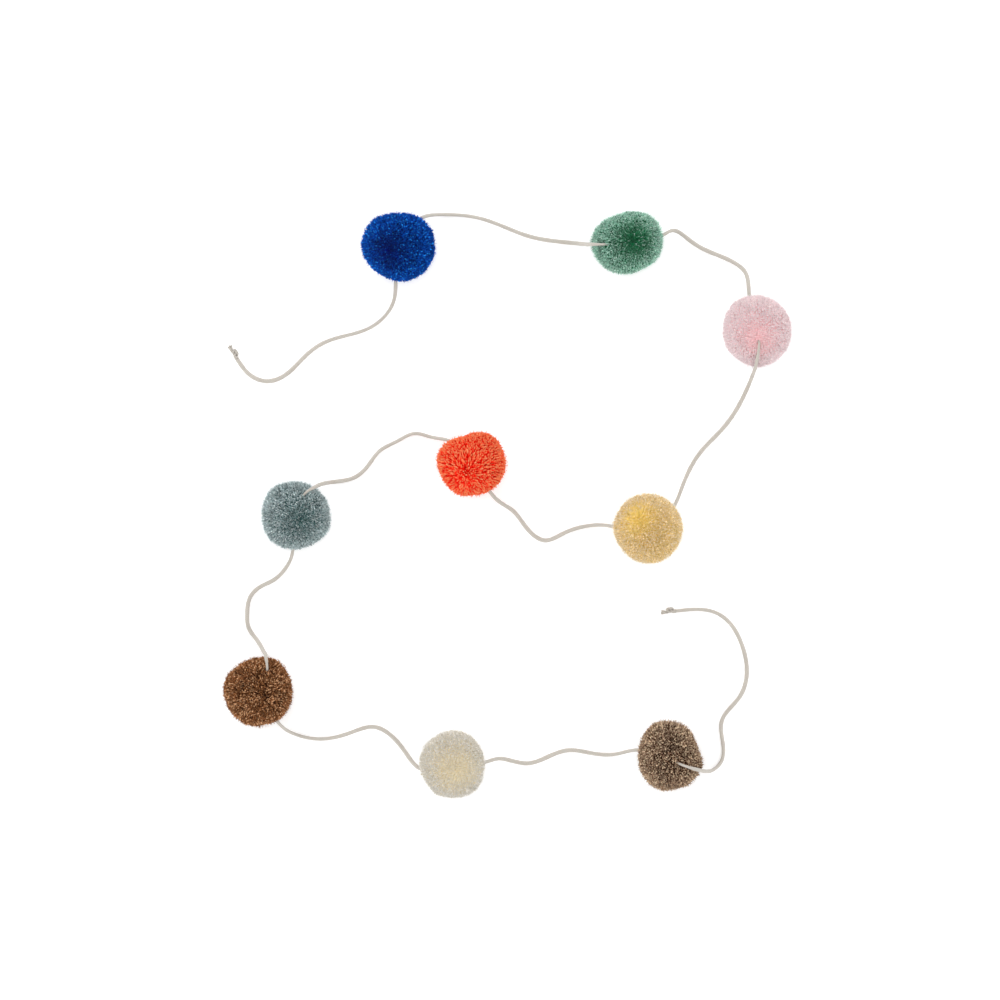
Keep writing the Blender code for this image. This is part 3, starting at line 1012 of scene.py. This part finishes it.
@dataclass(frozen=True)
class Pompom:
    """A trimmed ball of cut yarn on the cord: its middle, its size before it settles, and its yarn."""

    name: str
    x: float
    y: float
    width: float
    depth: float
    height: float
    lift: float
    yarn: Yarn
    finish: YarnFinish
    forms: tuple[Form, ...]
    whorls: tuple[Whorl, ...] = ()
    creases: tuple[Crease, ...] = ()

    def middle(self) -> np.ndarray:
        """The ball's middle, a little lower than its radius because it settles on its pile."""
        return np.array((self.x, self.y, self.height / 2 - FLOOR_PRESS))

    def radius(self) -> float:
        """The ball's mean radius."""
        return (self.width + self.depth + self.height) / 6

    def reach(self, ways: np.ndarray) -> np.ndarray:
        """How far the trimmed surface lies from the middle.

        Args:
            ways: unit directions, one a row.

        Returns:
            The distance along each.
        """
        out = 1 / np.linalg.norm(ways / (np.array((self.width, self.depth, self.height)) / 2), axis=1)
        for form in self.forms:
            apart = np.arccos(np.clip(ways @ pointing(form.azimuth, form.elevation), -1, 1))
            out += form.size * np.exp(-((apart / math.radians(form.breadth)) ** 2))
        down = np.maximum(-ways[:, 2], 1e-6)
        return np.where(ways[:, 2] < 0, np.minimum(out, self.middle()[2] / down), out)

    def spread_ends(self, random: np.random.Generator) -> np.ndarray:
        """Spread the yarn ends evenly over the ball, but for a little scatter.

        Args:
            random: the pile's seeded numbers.

        Returns:
            The direction of each end.
        """
        pile = self.yarn.value
        count = int(4 * math.pi * self.radius() ** 2 / pile.spacing**2)
        number = np.arange(count) + 0.5
        up = 1 - 2 * number / count
        turn = GOLDEN_TURN * number
        flat = np.sqrt(1 - up**2)
        ways = np.stack([np.cos(turn) * flat, np.sin(turn) * flat, up], axis=1)
        return unit(ways + random.normal(0, pile.scatter * pile.spacing / self.radius(), ways.shape))

    def lean(self, ways: np.ndarray) -> tuple[np.ndarray, np.ndarray, np.ndarray, np.ndarray]:
        """Open the pile at its whorls and creases.

        Args:
            ways: the direction of each ply.

        Returns:
            The directions of the tips and of the roots, how much shorter each ply is, and how much of its
            colour is the painted shade of the pile's depth.
        """
        tips, roots = ways.copy(), ways.copy()
        short = np.zeros(len(ways))
        depth_shading = np.zeros(len(ways))
        # Painted shade: plies near a whorl or crease take more of the depth colour
        for whorl in self.whorls:
            crown = pointing(whorl.azimuth, whorl.elevation)
            apart = np.arccos(np.clip(ways @ crown, -1, 1))
            away = unit(ways - (ways @ crown)[:, None] * crown + 1e-9)
            near = np.exp(-((apart / math.radians(whorl.breadth)) ** 2))
            tips += away * (math.radians(whorl.opening) * near)[:, None]
            roots -= away * (np.minimum(math.radians(whorl.lean), apart) * near)[:, None]
            short += whorl.hollow * near**3
            depth_shading += whorl.shade_deepened * near
        for crease in self.creases:
            line = pointing(crease.azimuth, 0)
            across_line = pointing(crease.azimuth + 90, 0)
            off = np.arcsin(np.clip(ways @ across_line, -1, 1))
            elevation = np.degrees(np.arctan2(ways[:, 2], ways @ line))
            within = (elevation > crease.low) & (elevation < crease.high)
            near = within * np.exp(-((off / math.radians(crease.width)) ** 2))
            tips += across_line * (np.sign(off) * math.radians(crease.opening) * near)[:, None]
            short += crease.depth * near
            depth_shading += crease.shade_deepened * near
        return unit(tips), unit(roots), short, depth_shading

    def plies(self, near: CordLine, random: np.random.Generator) -> Strands:
        """Set out every ply, parted round the cord.

        Args:
            near: the stretch of the cord at this ball.
            random: the pile's seeded numbers.

        Returns:
            The plies.
        """
        pile = self.yarn.value
        ways = self.spread_ends(random)
        count = len(ways)
        tip_ways, root_ways, short, depth_shading = self.lean(ways)
        root_ways = unit(root_ways + random.normal(0, pile.tilt, ways.shape))
        uneven = random.normal(0, pile.uneven, count) + self.tufts(ways, random)
        length = self.reach(tip_ways) + uneven - short - pile.uneven
        roots = self.middle() + root_ways * pile.root * self.radius()
        tips = self.middle() + tip_ways * length[:, None]
        bends = self.middle() + unit(tip_ways + 2 * root_ways) * ((1 + pile.root) / 2 * self.radius())
        bends += random.normal(0, 1, bends.shape) * pile.wave
        tips += self.parted(tips, near)
        strands = Strands(
            roots=roots,
            bends=bends,
            tips=tips,
            radii=pile.ply_radius * random.uniform(*PLY_THICKNESS, count),
            cut=np.ones(count),
            depth_shading=depth_shading,
            shade=random.uniform(0, 1, count),
            tone=random.uniform(0, 1, count),
            sides=pile.sides,
            rings=pile.rings,
        )
        return self.cleared(strands, near)

    def loose_fibres(self, near: CordLine, random: np.random.Generator) -> Strands:
        """Set out the thin fibres that stand out of the trimmed surface.

        Args:
            near: the stretch of the cord at this ball.
            random: the pile's seeded numbers.

        Returns:
            The fibres.
        """
        pile = self.yarn.value
        ways = unit(random.normal(0, 1, (pile.loose, 3)) * LOOSE_SPREAD)
        length = self.reach(ways)
        tip_ways = unit(ways + random.normal(0, LOOSE_LEAN, ways.shape))
        tips = self.middle() + tip_ways * (length + random.uniform(*LOOSE_OUT, pile.loose))[:, None]
        fibres = Strands(
            roots=self.middle() + ways * (length - LOOSE_ROOT_DEPTH)[:, None],
            bends=self.middle() + ways * (length - LOOSE_BEND_DEPTH)[:, None],
            tips=tips,
            radii=pile.loose_radius * random.uniform(*LOOSE_THICKNESS, pile.loose),
            cut=np.ones(pile.loose),
            depth_shading=np.zeros(pile.loose),
            shade=random.uniform(*LOOSE_SHADES, pile.loose),
            tone=np.full(pile.loose, LOOSE_MARK),
            sides=LOOSE_SIDES,
            rings=LOOSE_FIBRE,
        )
        return self.cleared(fibres, near)

    def tufts(self, ways: np.ndarray, random: np.random.Generator) -> np.ndarray:
        """How much longer or shorter the pile is where it bunches up.

        Args:
            ways: the direction of each ply.
            random: the pile's seeded numbers.

        Returns:
            The change in length of each ply.
        """
        bunches = unit(random.normal(0, 1, (TUFTS, 3)))
        sizes = random.normal(0, self.yarn.value.tufted, TUFTS)
        near = np.exp((ways @ bunches.T - 1) / (1 - math.cos(TUFT_BREADTH)))
        return near @ sizes

    def out_of_pile(self, points: np.ndarray) -> np.ndarray:
        """How far points are outside the trimmed surface; below 0 inside it."""
        offset = points - self.middle()
        return np.linalg.norm(offset, axis=1) - self.reach(unit(offset))

    def cord_outside(self, cord: CordLine) -> CordLine:
        """The stretch of the cord near the ball and not buried in its pile."""
        away = np.linalg.norm(cord.points - self.middle(), axis=1)
        return cord.kept((away < NEAR_POMPOM) & (self.out_of_pile(cord.points) > -BURIED))

    def parted(self, tips: np.ndarray, near: CordLine) -> np.ndarray:
        """How far each tip moves aside for the cord.

        Args:
            tips: the tips.
            near: the stretch of the cord at this ball.

        Returns:
            The moves.
        """
        gap, nearest = near.gaps(tips)
        push = PARTING * np.exp(-np.maximum(gap, 0) / PARTING_REACH)
        return unit(tips - nearest) * push[:, None]

    def cleared(self, strands: Strands, near: CordLine) -> Strands:
        """Cut each strand short before the cord, and leave out those that start in it.

        Args:
            strands: the strands.
            near: the stretch of the cord at this ball.

        Returns:
            The strands that are left.
        """
        count = len(strands.radii)
        free = np.ones(count, bool)
        for share in CLEARED_SHARES:
            gap, _ = near.gaps(strands.at(np.full(count, share)))
            stopped = free & (gap < CORD_ROOM)
            strands.cut[stopped] = share - CUT_BACK
            free &= ~stopped
        return strands.kept(strands.cut > SHORTEST_CUT)

    def core(self) -> Solid:
        """The middle of the pile, where the plies are too close to tell apart, painted with the shade of the
        pile's depth.

        Returns:
            The middle, as a closed ball with a level underside.
        """
        rise = np.linspace(-math.pi / 2, math.pi / 2, CORE_RINGS + 1)[1:-1]
        turn = np.arange(CORE_SEGMENTS) * math.tau / CORE_SEGMENTS
        ring = np.stack([np.cos(turn), np.sin(turn), np.zeros_like(turn)], axis=1)
        rounds = np.cos(rise)[:, None, None] * ring + np.sin(rise)[:, None, None] * UP
        ways = np.concatenate([rounds.reshape(-1, 3), [(0.0, 0.0, -1.0), UP]])
        vertices = self.middle() + ways * self.yarn.value.core * self.radius()
        vertices[:, 2] = np.maximum(vertices[:, 2], CORE_LOWEST)
        side = np.arange(CORE_SEGMENTS)
        after = (side + 1) % CORE_SEGMENTS
        low = np.arange(CORE_RINGS - 2)[:, None] * CORE_SEGMENTS
        high = low + CORE_SEGMENTS
        walls = np.stack([low + side, low + after, high + after, high + side], axis=2).reshape(-1, 4)
        top = (CORE_RINGS - 2) * CORE_SEGMENTS
        south, north = len(ways) - 2, len(ways) - 1
        bottoms = np.stack([after, side, np.full(CORE_SEGMENTS, south)], axis=1)
        tops = np.stack([top + side, top + after, np.full(CORE_SEGMENTS, north)], axis=1)
        groups = []
        for corners in (walls, bottoms, tops):
            number = np.arange(len(corners))[:, None]
            corner = np.arange(corners.shape[1])[None]
            across_map = (number + CORE_MAP_WIDTH * (corner % 2)) / len(corners)
            up_map = CORE_MAP_BOTTOM + CORE_MAP_HEIGHT * ((corner // 2) % 2) * np.ones_like(across_map)
            groups.append(Faces(corners, np.stack([across_map, up_map], axis=2)))
        strand = np.tile(CORE_HEIGHT_SHADE_TONE, (len(vertices), 1))
        return Solid(vertices, groups, strand=strand)

    def dress(self, cord: CordLine, seed: int) -> bpy.types.Object:
        """Build the ball and let it stand for its CAD node.

        Args:
            cord: the cord's centreline and radii.
            seed: the seed of its pile.

        Returns:
            The piece.
        """
        random = np.random.default_rng(seed)
        near = self.cord_outside(cord)
        strands = self.plies(near, random)
        turn = random.uniform(0, math.tau, len(strands.radii))
        fibres = self.loose_fibres(near, random)
        pile = strands.solid(turn, LOWEST_TIP).joined(self.core())
        pile = pile.joined(fibres.solid(np.zeros(len(fibres.radii)), LOWEST_TIP))
        piece = pile.make(f"{self.name}_pompom", self.finish.make(f"{self.name} yarn"))
        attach(piece, "root")
        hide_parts(f"pompom_{self.name}")
        faces = sum(len(f.corners) * (f.corners.shape[1] - 2) for f in pile.faces)
        LOG.info("%s: %d plies, %d triangles", piece.name, len(strands.radii), faces)
        return piece


# In each finish the first three colours are painted light: shade and bounced light low in the pile, sheen on
# the sides, shade at the cut ends
POMPOMS = (
    Pompom(
        name="blue", x=-0.1086, y=0.2573, width=0.0715, depth=0.0690, height=0.0690, lift=0.0,
        yarn=Yarn.FINE,
        finish=YarnFinish(
            depth_shading=(0.0, 0.03, 0.34), side=(0.0, 0.30, 0.68),
            cut=(0.0, 0.05, 0.38), fleck=(0.14, 0.55, 0.93),
            flecked=0.13, uneven=1.0,
        ),
        forms=(
            Form(138, 5, 0.0040, 30),
            Form(178, 5, 0.0020, 22),
            Form(45, 5, 0.0020, 30),
            Form(242, 5, -0.0026, 24),
        ),
        whorls=(Whorl(200, 70, 1.5, 12.0, 44.0, 0.0004, 0.24),),
    ),
    Pompom(
        name="green", x=0.1196, y=0.2615, width=0.0700, depth=0.0625, height=0.0660, lift=0.0,
        yarn=Yarn.BRUSHED,
        finish=YarnFinish(
            depth_shading=(0.0, 0.37, 0.21), side=(0.57, 0.75, 0.67),
            cut=(0.03, 0.38, 0.25), fleck=(0.76, 0.88, 0.82),
            flecked=0.13, uneven=0.90, backlit_halo=0.3,
        ),
        forms=(
            Form(45, 5, 0.0034, 32),
            Form(112, 5, -0.0018, 20),
            Form(178, 5, 0.0018, 26),
            Form(300, 5, -0.0034, 26),
        ),
        whorls=(Whorl(20, 76, 1.0, 12.0, 44.0, 0.0003, 0.30),),
    ),
    Pompom(
        name="pink", x=0.2493, y=0.1735, width=0.0680, depth=0.0715, height=0.0690, lift=0.009,
        yarn=Yarn.SOFT,
        finish=YarnFinish(
            depth_shading=(1.0, 0.80, 0.81), side=(0.91, 0.835, 0.845),
            cut=(0.97, 0.86, 0.865), fleck=(0.98, 0.91, 0.91),
            flecked=0.12, uneven=0.17, backlit_halo=0.5,
        ),
        forms=(
            Form(130, 5, 0.0016, 30),
            Form(238, 5, -0.0022, 16),
            Form(310, 5, -0.0006, 20),
        ),
        whorls=(Whorl(270, 76, 1.0, 8.0, 36.0, 0.0004, 0.22),),
    ),
    Pompom(
        name="yellow", x=0.1406, y=-0.0240, width=0.0675, depth=0.0690, height=0.0680, lift=0.0,
        yarn=Yarn.SOFT,
        finish=YarnFinish(
            depth_shading=(0.97, 0.83, 0.43), side=(0.865, 0.76, 0.58),
            cut=(0.99, 0.86, 0.54), fleck=(1.0, 0.905, 0.72),
            flecked=0.14, uneven=0.27, mingled=0.10, backlit_halo=0.6,
        ),
        forms=(
            Form(125, 5, 0.0014, 36),
            Form(176, 5, 0.0018, 20),
            Form(218, 5, -0.0008, 18),
        ),
        whorls=(Whorl(135, 62, 1.5, 12.0, 36.0, 0.0008, 0.25),),
    ),
    Pompom(
        name="orange", x=-0.0360, y=0.0407, width=0.0685, depth=0.0635, height=0.0660, lift=0.0,
        yarn=Yarn.CHUNKY,
        finish=YarnFinish(
            depth_shading=(0.98, 0.08, 0.03), side=(0.94, 0.50, 0.33),
            cut=(0.96, 0.36, 0.21), fleck=(0.96, 0.59, 0.42),
            flecked=0.14, uneven=0.12, shown=(0.72, 0.92), mingled=0.20, sheen=0.04, gloss=0.02,
        ),
        forms=(
            Form(55, 5, 0.0036, 26),
            Form(112, 5, -0.0034, 17),
            Form(160, 5, 0.0024, 28),
            Form(245, 5, 0.0024, 22),
        ),
        whorls=(Whorl(240, 64, 1.0, 28.0, 70.0, 0.0003, 0.13),),
    ),
    Pompom(
        name="grey", x=-0.2117, y=-0.0109, width=0.0675, depth=0.0670, height=0.0670, lift=0.0,
        yarn=Yarn.BRUSHED,
        finish=YarnFinish(
            depth_shading=(0.15, 0.31, 0.30), side=(0.625, 0.685, 0.69),
            cut=(0.31, 0.445, 0.435), fleck=(0.83, 0.87, 0.87),
            flecked=0.14, uneven=0.90, backlit_halo=0.3,
        ),
        forms=(
            Form(132, 5, 0.0030, 32),
            Form(220, 5, 0.0018, 30),
            Form(292, 5, -0.0016, 18),
            Form(335, 5, 0.0016, 20),
        ),
        whorls=(Whorl(330, 80, 1.5, 12.0, 46.0, 0.0003, 0.19),),
    ),
    Pompom(
        name="brown", x=-0.2493, y=-0.1875, width=0.0680, depth=0.0700, height=0.0680, lift=0.0,
        yarn=Yarn.MEDIUM,
        finish=YarnFinish(
            depth_shading=(0.20, 0.06, 0.0), side=(0.55, 0.37, 0.235),
            cut=(0.53, 0.32, 0.19), fleck=(0.82, 0.63, 0.47),
            flecked=0.31, uneven=1.0, shown=(0.68, 0.94), mingled=0.06, sheen=0.10, gloss=0.04,
        ),
        forms=(
            Form(60, 5, 0.0032, 22),
            Form(118, 5, -0.0010, 18),
            Form(165, 5, 0.0020, 30),
            Form(284, 5, -0.0022, 14),
        ),
        whorls=(Whorl(335, 74, 2.0, 12.0, 34.0, 0.0006, 0.08),),
    ),
    Pompom(
        name="cream", x=-0.0552, y=-0.2592, width=0.0630, depth=0.0675, height=0.0650, lift=0.0,
        yarn=Yarn.SOFT,
        finish=YarnFinish(
            depth_shading=(0.95, 0.89, 0.74), side=(0.81, 0.79, 0.75),
            cut=(0.92, 0.873, 0.768), fleck=(0.94, 0.92, 0.88),
            flecked=0.12, uneven=0.18, backlit_halo=0.6,
        ),
        forms=(
            Form(170, 5, 0.0020, 30),
            Form(110, 5, -0.0010, 16),
            Form(240, 5, 0.0022, 12),
            Form(312, 5, 0.0022, 24),
        ),
        whorls=(Whorl(300, 76, 1.0, 8.0, 50.0, 0.0002, 0.20),),
    ),
    Pompom(
        name="taupe", x=0.1620, y=-0.2522, width=0.0640, depth=0.0710, height=0.0670, lift=0.009,
        yarn=Yarn.MEDIUM,
        finish=YarnFinish(
            depth_shading=(0.24, 0.11, 0.03), side=(0.635, 0.535, 0.445),
            cut=(0.44, 0.28, 0.17), fleck=(0.86, 0.76, 0.64),
            flecked=0.31, uneven=0.92, shown=(0.68, 0.94), mingled=0.06, backlit_halo=0.1, sheen=0.10, gloss=0.04,
        ),
        forms=(
            Form(24, 5, -0.0040, 22),
            Form(116, 5, 0.0032, 30),
            Form(88, 25, -0.0022, 12),
            Form(280, 5, -0.0032, 18),
            Form(345, 5, 0.0024, 16),
        ),
        creases=(Crease(93, 0, 80, 12, 0.0018, 0.3, 0.12),),
    ),
)


@dataclass
class Tube:
    """A soft cord along a centreline, a little flattened, with the flat side turning slowly."""

    path: np.ndarray
    radii: np.ndarray
    sides: int = CORD_SIDES
    flatness: float = 0.12
    turn_length: float = 0.24
    turned: float = -1.19
    map_rings: int = 120

    def headings(self) -> np.ndarray:
        """The unit direction of the centreline at each point."""
        return unit(np.gradient(self.path, axis=0))

    def frames(self) -> tuple[np.ndarray, np.ndarray]:
        """Two directions across the cord at each point, carried along it with no twist.

        Returns:
            The two sets of unit vectors.
        """
        headings = self.headings()
        first = np.empty_like(headings)
        side = np.cross(UP, headings[0])
        for number, heading in enumerate(headings):
            side = side - heading * (side @ heading)
            side /= np.linalg.norm(side)
            first[number] = side
        return first, np.cross(headings, first)

    def solid(self) -> Solid:
        """Build the tube.

        Returns:
            The solid, with the turns round it and the metres along it at each corner.
        """
        first, second = self.frames()
        count, sides = len(self.path), self.sides
        steps = np.linalg.norm(np.diff(self.path, axis=0), axis=1)
        along = np.concatenate([[0.0], np.cumsum(steps)])
        angle = np.arange(sides) * math.tau / sides
        turn = self.turned + math.tau * along[:, None] / self.turn_length
        flat = 1 + self.flatness * np.cos(2 * angle[None] + turn)
        swell = np.ones_like(along)
        for size, rate, shift in CORD_SWELLS:
            swell += size * np.sin(along * rate + shift)
        radius = (self.radii * swell)[:, None] * flat
        out = np.cos(angle)[None, :, None] * first[:, None] + np.sin(angle)[None, :, None] * second[:, None]
        vertices = self.path[:, None] + radius[..., None] * out
        vertices[..., 2] = np.maximum(vertices[..., 2], LOWEST_TIP)
        side = np.arange(sides)
        after = (side + 1) % sides
        low = np.arange(count - 1)[:, None] * sides
        high = low + sides
        walls = np.stack([low + side, low + after, high + after, high + side], axis=2).reshape(-1, 4)
        ends = np.stack([side[::-1], (count - 1) * sides + side])
        ring = np.repeat(np.arange(count - 1), sides)
        place = np.tile(side, count - 1)
        rows = math.ceil(count / self.map_rings)
        left = (ring % self.map_rings) / self.map_rings
        right = left + 1 / self.map_rings
        bottom = (ring // self.map_rings + TUBE_MAP_MARGIN + TUBE_MAP_USED * place / sides) / rows
        top = bottom + TUBE_MAP_USED / sides / rows
        walls_at = np.stack([left, bottom, left, top, right, top, right, bottom], axis=1).reshape(-1, 4, 2)
        ends_at = END_MAP_RADIUS * np.stack([np.cos(angle), np.sin(angle)], axis=1) + END_MAP_PLACE
        ends_at = np.stack([ends_at, ends_at - (END_MAP_APART, 0.0)])
        low_turn, high_turn = place / sides, (place + 1) / sides
        here, there = along[ring], along[ring + 1]
        lay = np.stack([low_turn, here, high_turn, here, high_turn, there, low_turn, there], axis=1)
        lay = lay.reshape(-1, 4, 2)
        faces = [Faces(walls, walls_at), Faces(ends, ends_at)]
        return Solid(vertices.reshape(-1, 3), faces, lay=[lay, ends_at])


@dataclass
class GarlandCord:
    """The one cotton cord, through the middle of every pom-pom."""

    balls: tuple[Pompom, ...]

    def route(self) -> np.ndarray:
        """The cord's way through the garland.

        Returns:
            Its centreline, no lower than it lies on the surface.
        """
        points = list(STRETCHES[0])
        for ball, stretch in zip(self.balls, STRETCHES[1:]):
            points.append(tuple(ball.middle() + (0, 0, ball.lift)))
            points.extend(stretch)
        line = smooth_line(np.array(points), RING_STEP)
        line[:, 2] = np.maximum(line[:, 2], CORD_REST)
        return line

    def squeezed(self, route: np.ndarray) -> np.ndarray:
        """The cord's radius at each point, less where it sinks into a pom-pom from above.

        Args:
            route: its centreline.

        Returns:
            The radii.
        """
        share = np.zeros(len(route))
        for ball in self.balls:
            inside = ball.out_of_pile(route) < 0
            for crossing in np.flatnonzero((inside[1:] != inside[:-1]) & (route[1:, 2] > SQUEEZE_ABOVE)):
                along = (np.arange(len(route)) - crossing) * RING_STEP
                share = np.maximum(share, np.exp(-((along / SQUEEZE_LENGTH) ** 2)))
        return CORD_DIAMETER / 2 * CORD_PULLED * (1 - CORD_SQUEEZE * share)

    def make(self, cord: CordLine, cotton: bpy.types.Material) -> bpy.types.Object:
        """Build the cord and let it stand for its CAD node.

        Args:
            cord: its centreline and radii.
            cotton: its material.

        Returns:
            The piece.
        """
        solid = Tube(cord.points, cord.radii).solid()
        piece = solid.make("garland_cord", cotton)
        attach(piece, "root")
        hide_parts("cord")
        LOG.info("%s: %.3f m", piece.name, np.linalg.norm(np.diff(cord.points, axis=0), axis=1).sum())
        return piece


@dataclass
class EndKnot:
    """An overhand knot pulled tight, with a tail that has frayed open."""

    node: str
    end: np.ndarray
    before: np.ndarray
    seed: int

    def line(self) -> tuple[np.ndarray, np.ndarray]:
        """The knot's centreline from the end of the plain cord to the tail, and the cord's radius along it.

        Returns:
            The points, in the knot's own frame with the tail towards -X, and the radii.
        """
        first = math.pi + KNOT_OPENING
        turn = np.linspace(first, first + math.tau - 2 * KNOT_OPENING, KNOT_TURN_POINTS)
        along = KNOT_EYE * np.sin(turn) + KNOT_LOBE * np.sin(2 * turn)
        aside = KNOT_EYE * np.cos(turn) - KNOT_LOBE * np.cos(2 * turn)
        up = -KNOT_LIFT * np.sin(3 * turn)
        loops = np.stack([along, aside, up, np.full_like(turn, KNOT_STRAND)], axis=1)
        marks = np.concatenate([KNOT_LEAD, loops, KNOT_TAIL])
        line = smooth_line(marks, KNOT_STEP)
        fuller = KNOT_FULLNESS * np.clip((KNOT_FULL_BELOW - line[:, 3]) / KNOT_FULL_WITHIN, 0, 1)
        return line[:, :3] - line[0, :3], line[:, 3] + fuller

    def placed(self, points: np.ndarray) -> np.ndarray:
        """Bring points from the knot's own frame to its place at the cord's end.

        Args:
            points: the points, one a row.

        Returns:
            The points in place.
        """
        heading = unit(self.end - self.before)
        back = unit(np.array((-heading[0], -heading[1], 0.0)))
        side = np.array((-back[1], back[0], 0.0))
        turned = points[:, :1] * back + points[:, 1:2] * side + points[:, 2:] * UP
        return self.end + KNOT_CLEARANCE * heading + turned

    def fray(self, path: np.ndarray, random: np.random.Generator) -> Solid:
        """The loose fibres at the tail's end.

        Args:
            path: the knot's centreline in place.
            random: seeded numbers.

        Returns:
            The fibres.
        """
        heading = unit(path[-1] - path[-4])
        first, second = (vectors[0] for vectors in across(heading[None]))
        turn = random.uniform(0, math.tau, FRAY_FIBRES)
        out = np.sqrt(random.uniform(0, 1, FRAY_FIBRES))[:, None]
        spread = (np.cos(turn)[:, None] * first + np.sin(turn)[:, None] * second) * out
        far = random.uniform(*FRAY_OUT, FRAY_FIBRES)[:, None]
        fibres = Strands(
            roots=path[-1] - heading * FRAY_ROOT_BACK + spread * FRAY_ROOT_SPREAD,
            bends=path[-1] + spread * FRAY_BEND_SPREAD,
            tips=path[-1] + heading * far + spread * FRAY_TIP_SPREAD,
            radii=random.uniform(*FRAY_RADII, FRAY_FIBRES),
            cut=np.ones(FRAY_FIBRES),
            depth_shading=np.zeros(FRAY_FIBRES),
            shade=np.ones(FRAY_FIBRES),
            tone=np.ones(FRAY_FIBRES),
            sides=FRAY_SIDES,
            rings=FRAYED_FIBRE,
        )
        solid = fibres.solid(turn, LOWEST_TIP)
        faces = [Faces(f.corners, f.places * FRAY_MAP_SHARE + FRAY_MAP_PLACE) for f in solid.faces]
        lay = [f.places * FRAY_LAY for f in solid.faces]
        return Solid(solid.vertices, faces, lay=lay)

    def make(self, cotton: bpy.types.Material) -> bpy.types.Object:
        """Build the knot and let it stand for its CAD node.

        Args:
            cotton: the cord's material.

        Returns:
            The piece.
        """
        points, radii = self.line()
        path = self.placed(points)
        tube = Tube(path, radii, flatness=0.05, turn_length=0.011).solid()
        tube.faces = [Faces(f.corners, f.places * KNOT_MAP_SHARE) for f in tube.faces]
        whole = tube.joined(self.fray(path, np.random.default_rng(self.seed)))
        piece = whole.make(f"{self.node}_tied", cotton)
        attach(piece, "root")
        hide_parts(self.node)
        LOG.info("%s: tied", piece.name)
        return piece


@dataclass
class Studio:
    """The camera straight above, the plain surface and the soft light."""

    centre: Point = (-0.008, 0.0048, 0.033)
    span: float = 1.0
    distance: float = 8.0
    sensor: float = 36.0
    floor_size: float = 40.0
    horizon: float = 1.45
    zenith: float = 1.20
    farthest: float = 100.0
    lamp_size: float = 2.4
    lamp_power: float = 20.0
    lamp_place: Point = (-1.6, 1.8, 2.6)

    def camera(self) -> None:
        """Look straight down, with the picture's span at the pom-poms' middles."""
        data = bpy.data.cameras.new("camera")
        data.sensor_width = self.sensor
        data.lens = self.sensor * self.distance / self.span
        data.clip_end = self.farthest
        made = bpy.data.objects.new("camera", data)
        made.location = Vector(self.centre) + Vector((0, 0, self.distance))
        bpy.context.scene.collection.objects.link(made)
        bpy.context.scene.camera = made

    def floor(self) -> None:
        """Lay the plain pale surface."""
        bpy.ops.mesh.primitive_plane_add(size=self.floor_size, location=(0, 0, 0))
        made = bpy.context.object
        made.name = "floor"
        made.data.materials.append(FloorFinish().make("pale surface"))

    def light(self) -> None:
        """Surround the garland with white light, brighter near the horizon, and one soft lamp."""
        world = bpy.data.worlds.new("studio")
        bpy.context.scene.world = world
        world.use_nodes = True
        nodes = Nodes(world.node_tree)
        way = nodes.node("ShaderNodeTexCoord", {}, {}).outputs["Generated"]
        up = nodes.parted(way)[2].largest(0.0)
        strength = self.horizon + (self.zenith - self.horizon) * up
        background = world.node_tree.nodes["Background"]
        background.inputs["Color"].default_value = (1, 1, 1, 1)
        nodes.feed(background.inputs["Strength"], strength)
        lamp = bpy.data.lights.new("soft lamp", "AREA")
        lamp.shape = "SQUARE"
        lamp.size = self.lamp_size
        lamp.energy = self.lamp_power
        made = bpy.data.objects.new("soft lamp", lamp)
        made.location = self.lamp_place
        made.rotation_euler = (-made.location).to_track_quat("-Z", "Y").to_euler()
        bpy.context.scene.collection.objects.link(made)


def main() -> None:
    """Build the garland's pieces in order, and set up the camera, the surface and the light."""
    logging.basicConfig(level=logging.INFO, format="%(message)s")
    studio = Studio()
    studio.camera()
    cotton = CottonFinish().make("knitted cotton")
    garland_cord = GarlandCord(POMPOMS)
    route = garland_cord.route()
    cord = CordLine(route, garland_cord.squeezed(route))
    piece = garland_cord.make(cord, cotton)
    knots = [
        EndKnot("knot_start", route[0], route[1], seed=21).make(cotton),
        EndKnot("knot_end", route[-1], route[-2], seed=22).make(cotton),
    ]
    for seed, ball in enumerate(POMPOMS, start=1):
        ball.dress(cord, seed)
    studio.floor()
    studio.light()
    bpy.context.scene.view_settings.view_transform = "Standard"


if __name__ == "__main__":
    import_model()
    main()
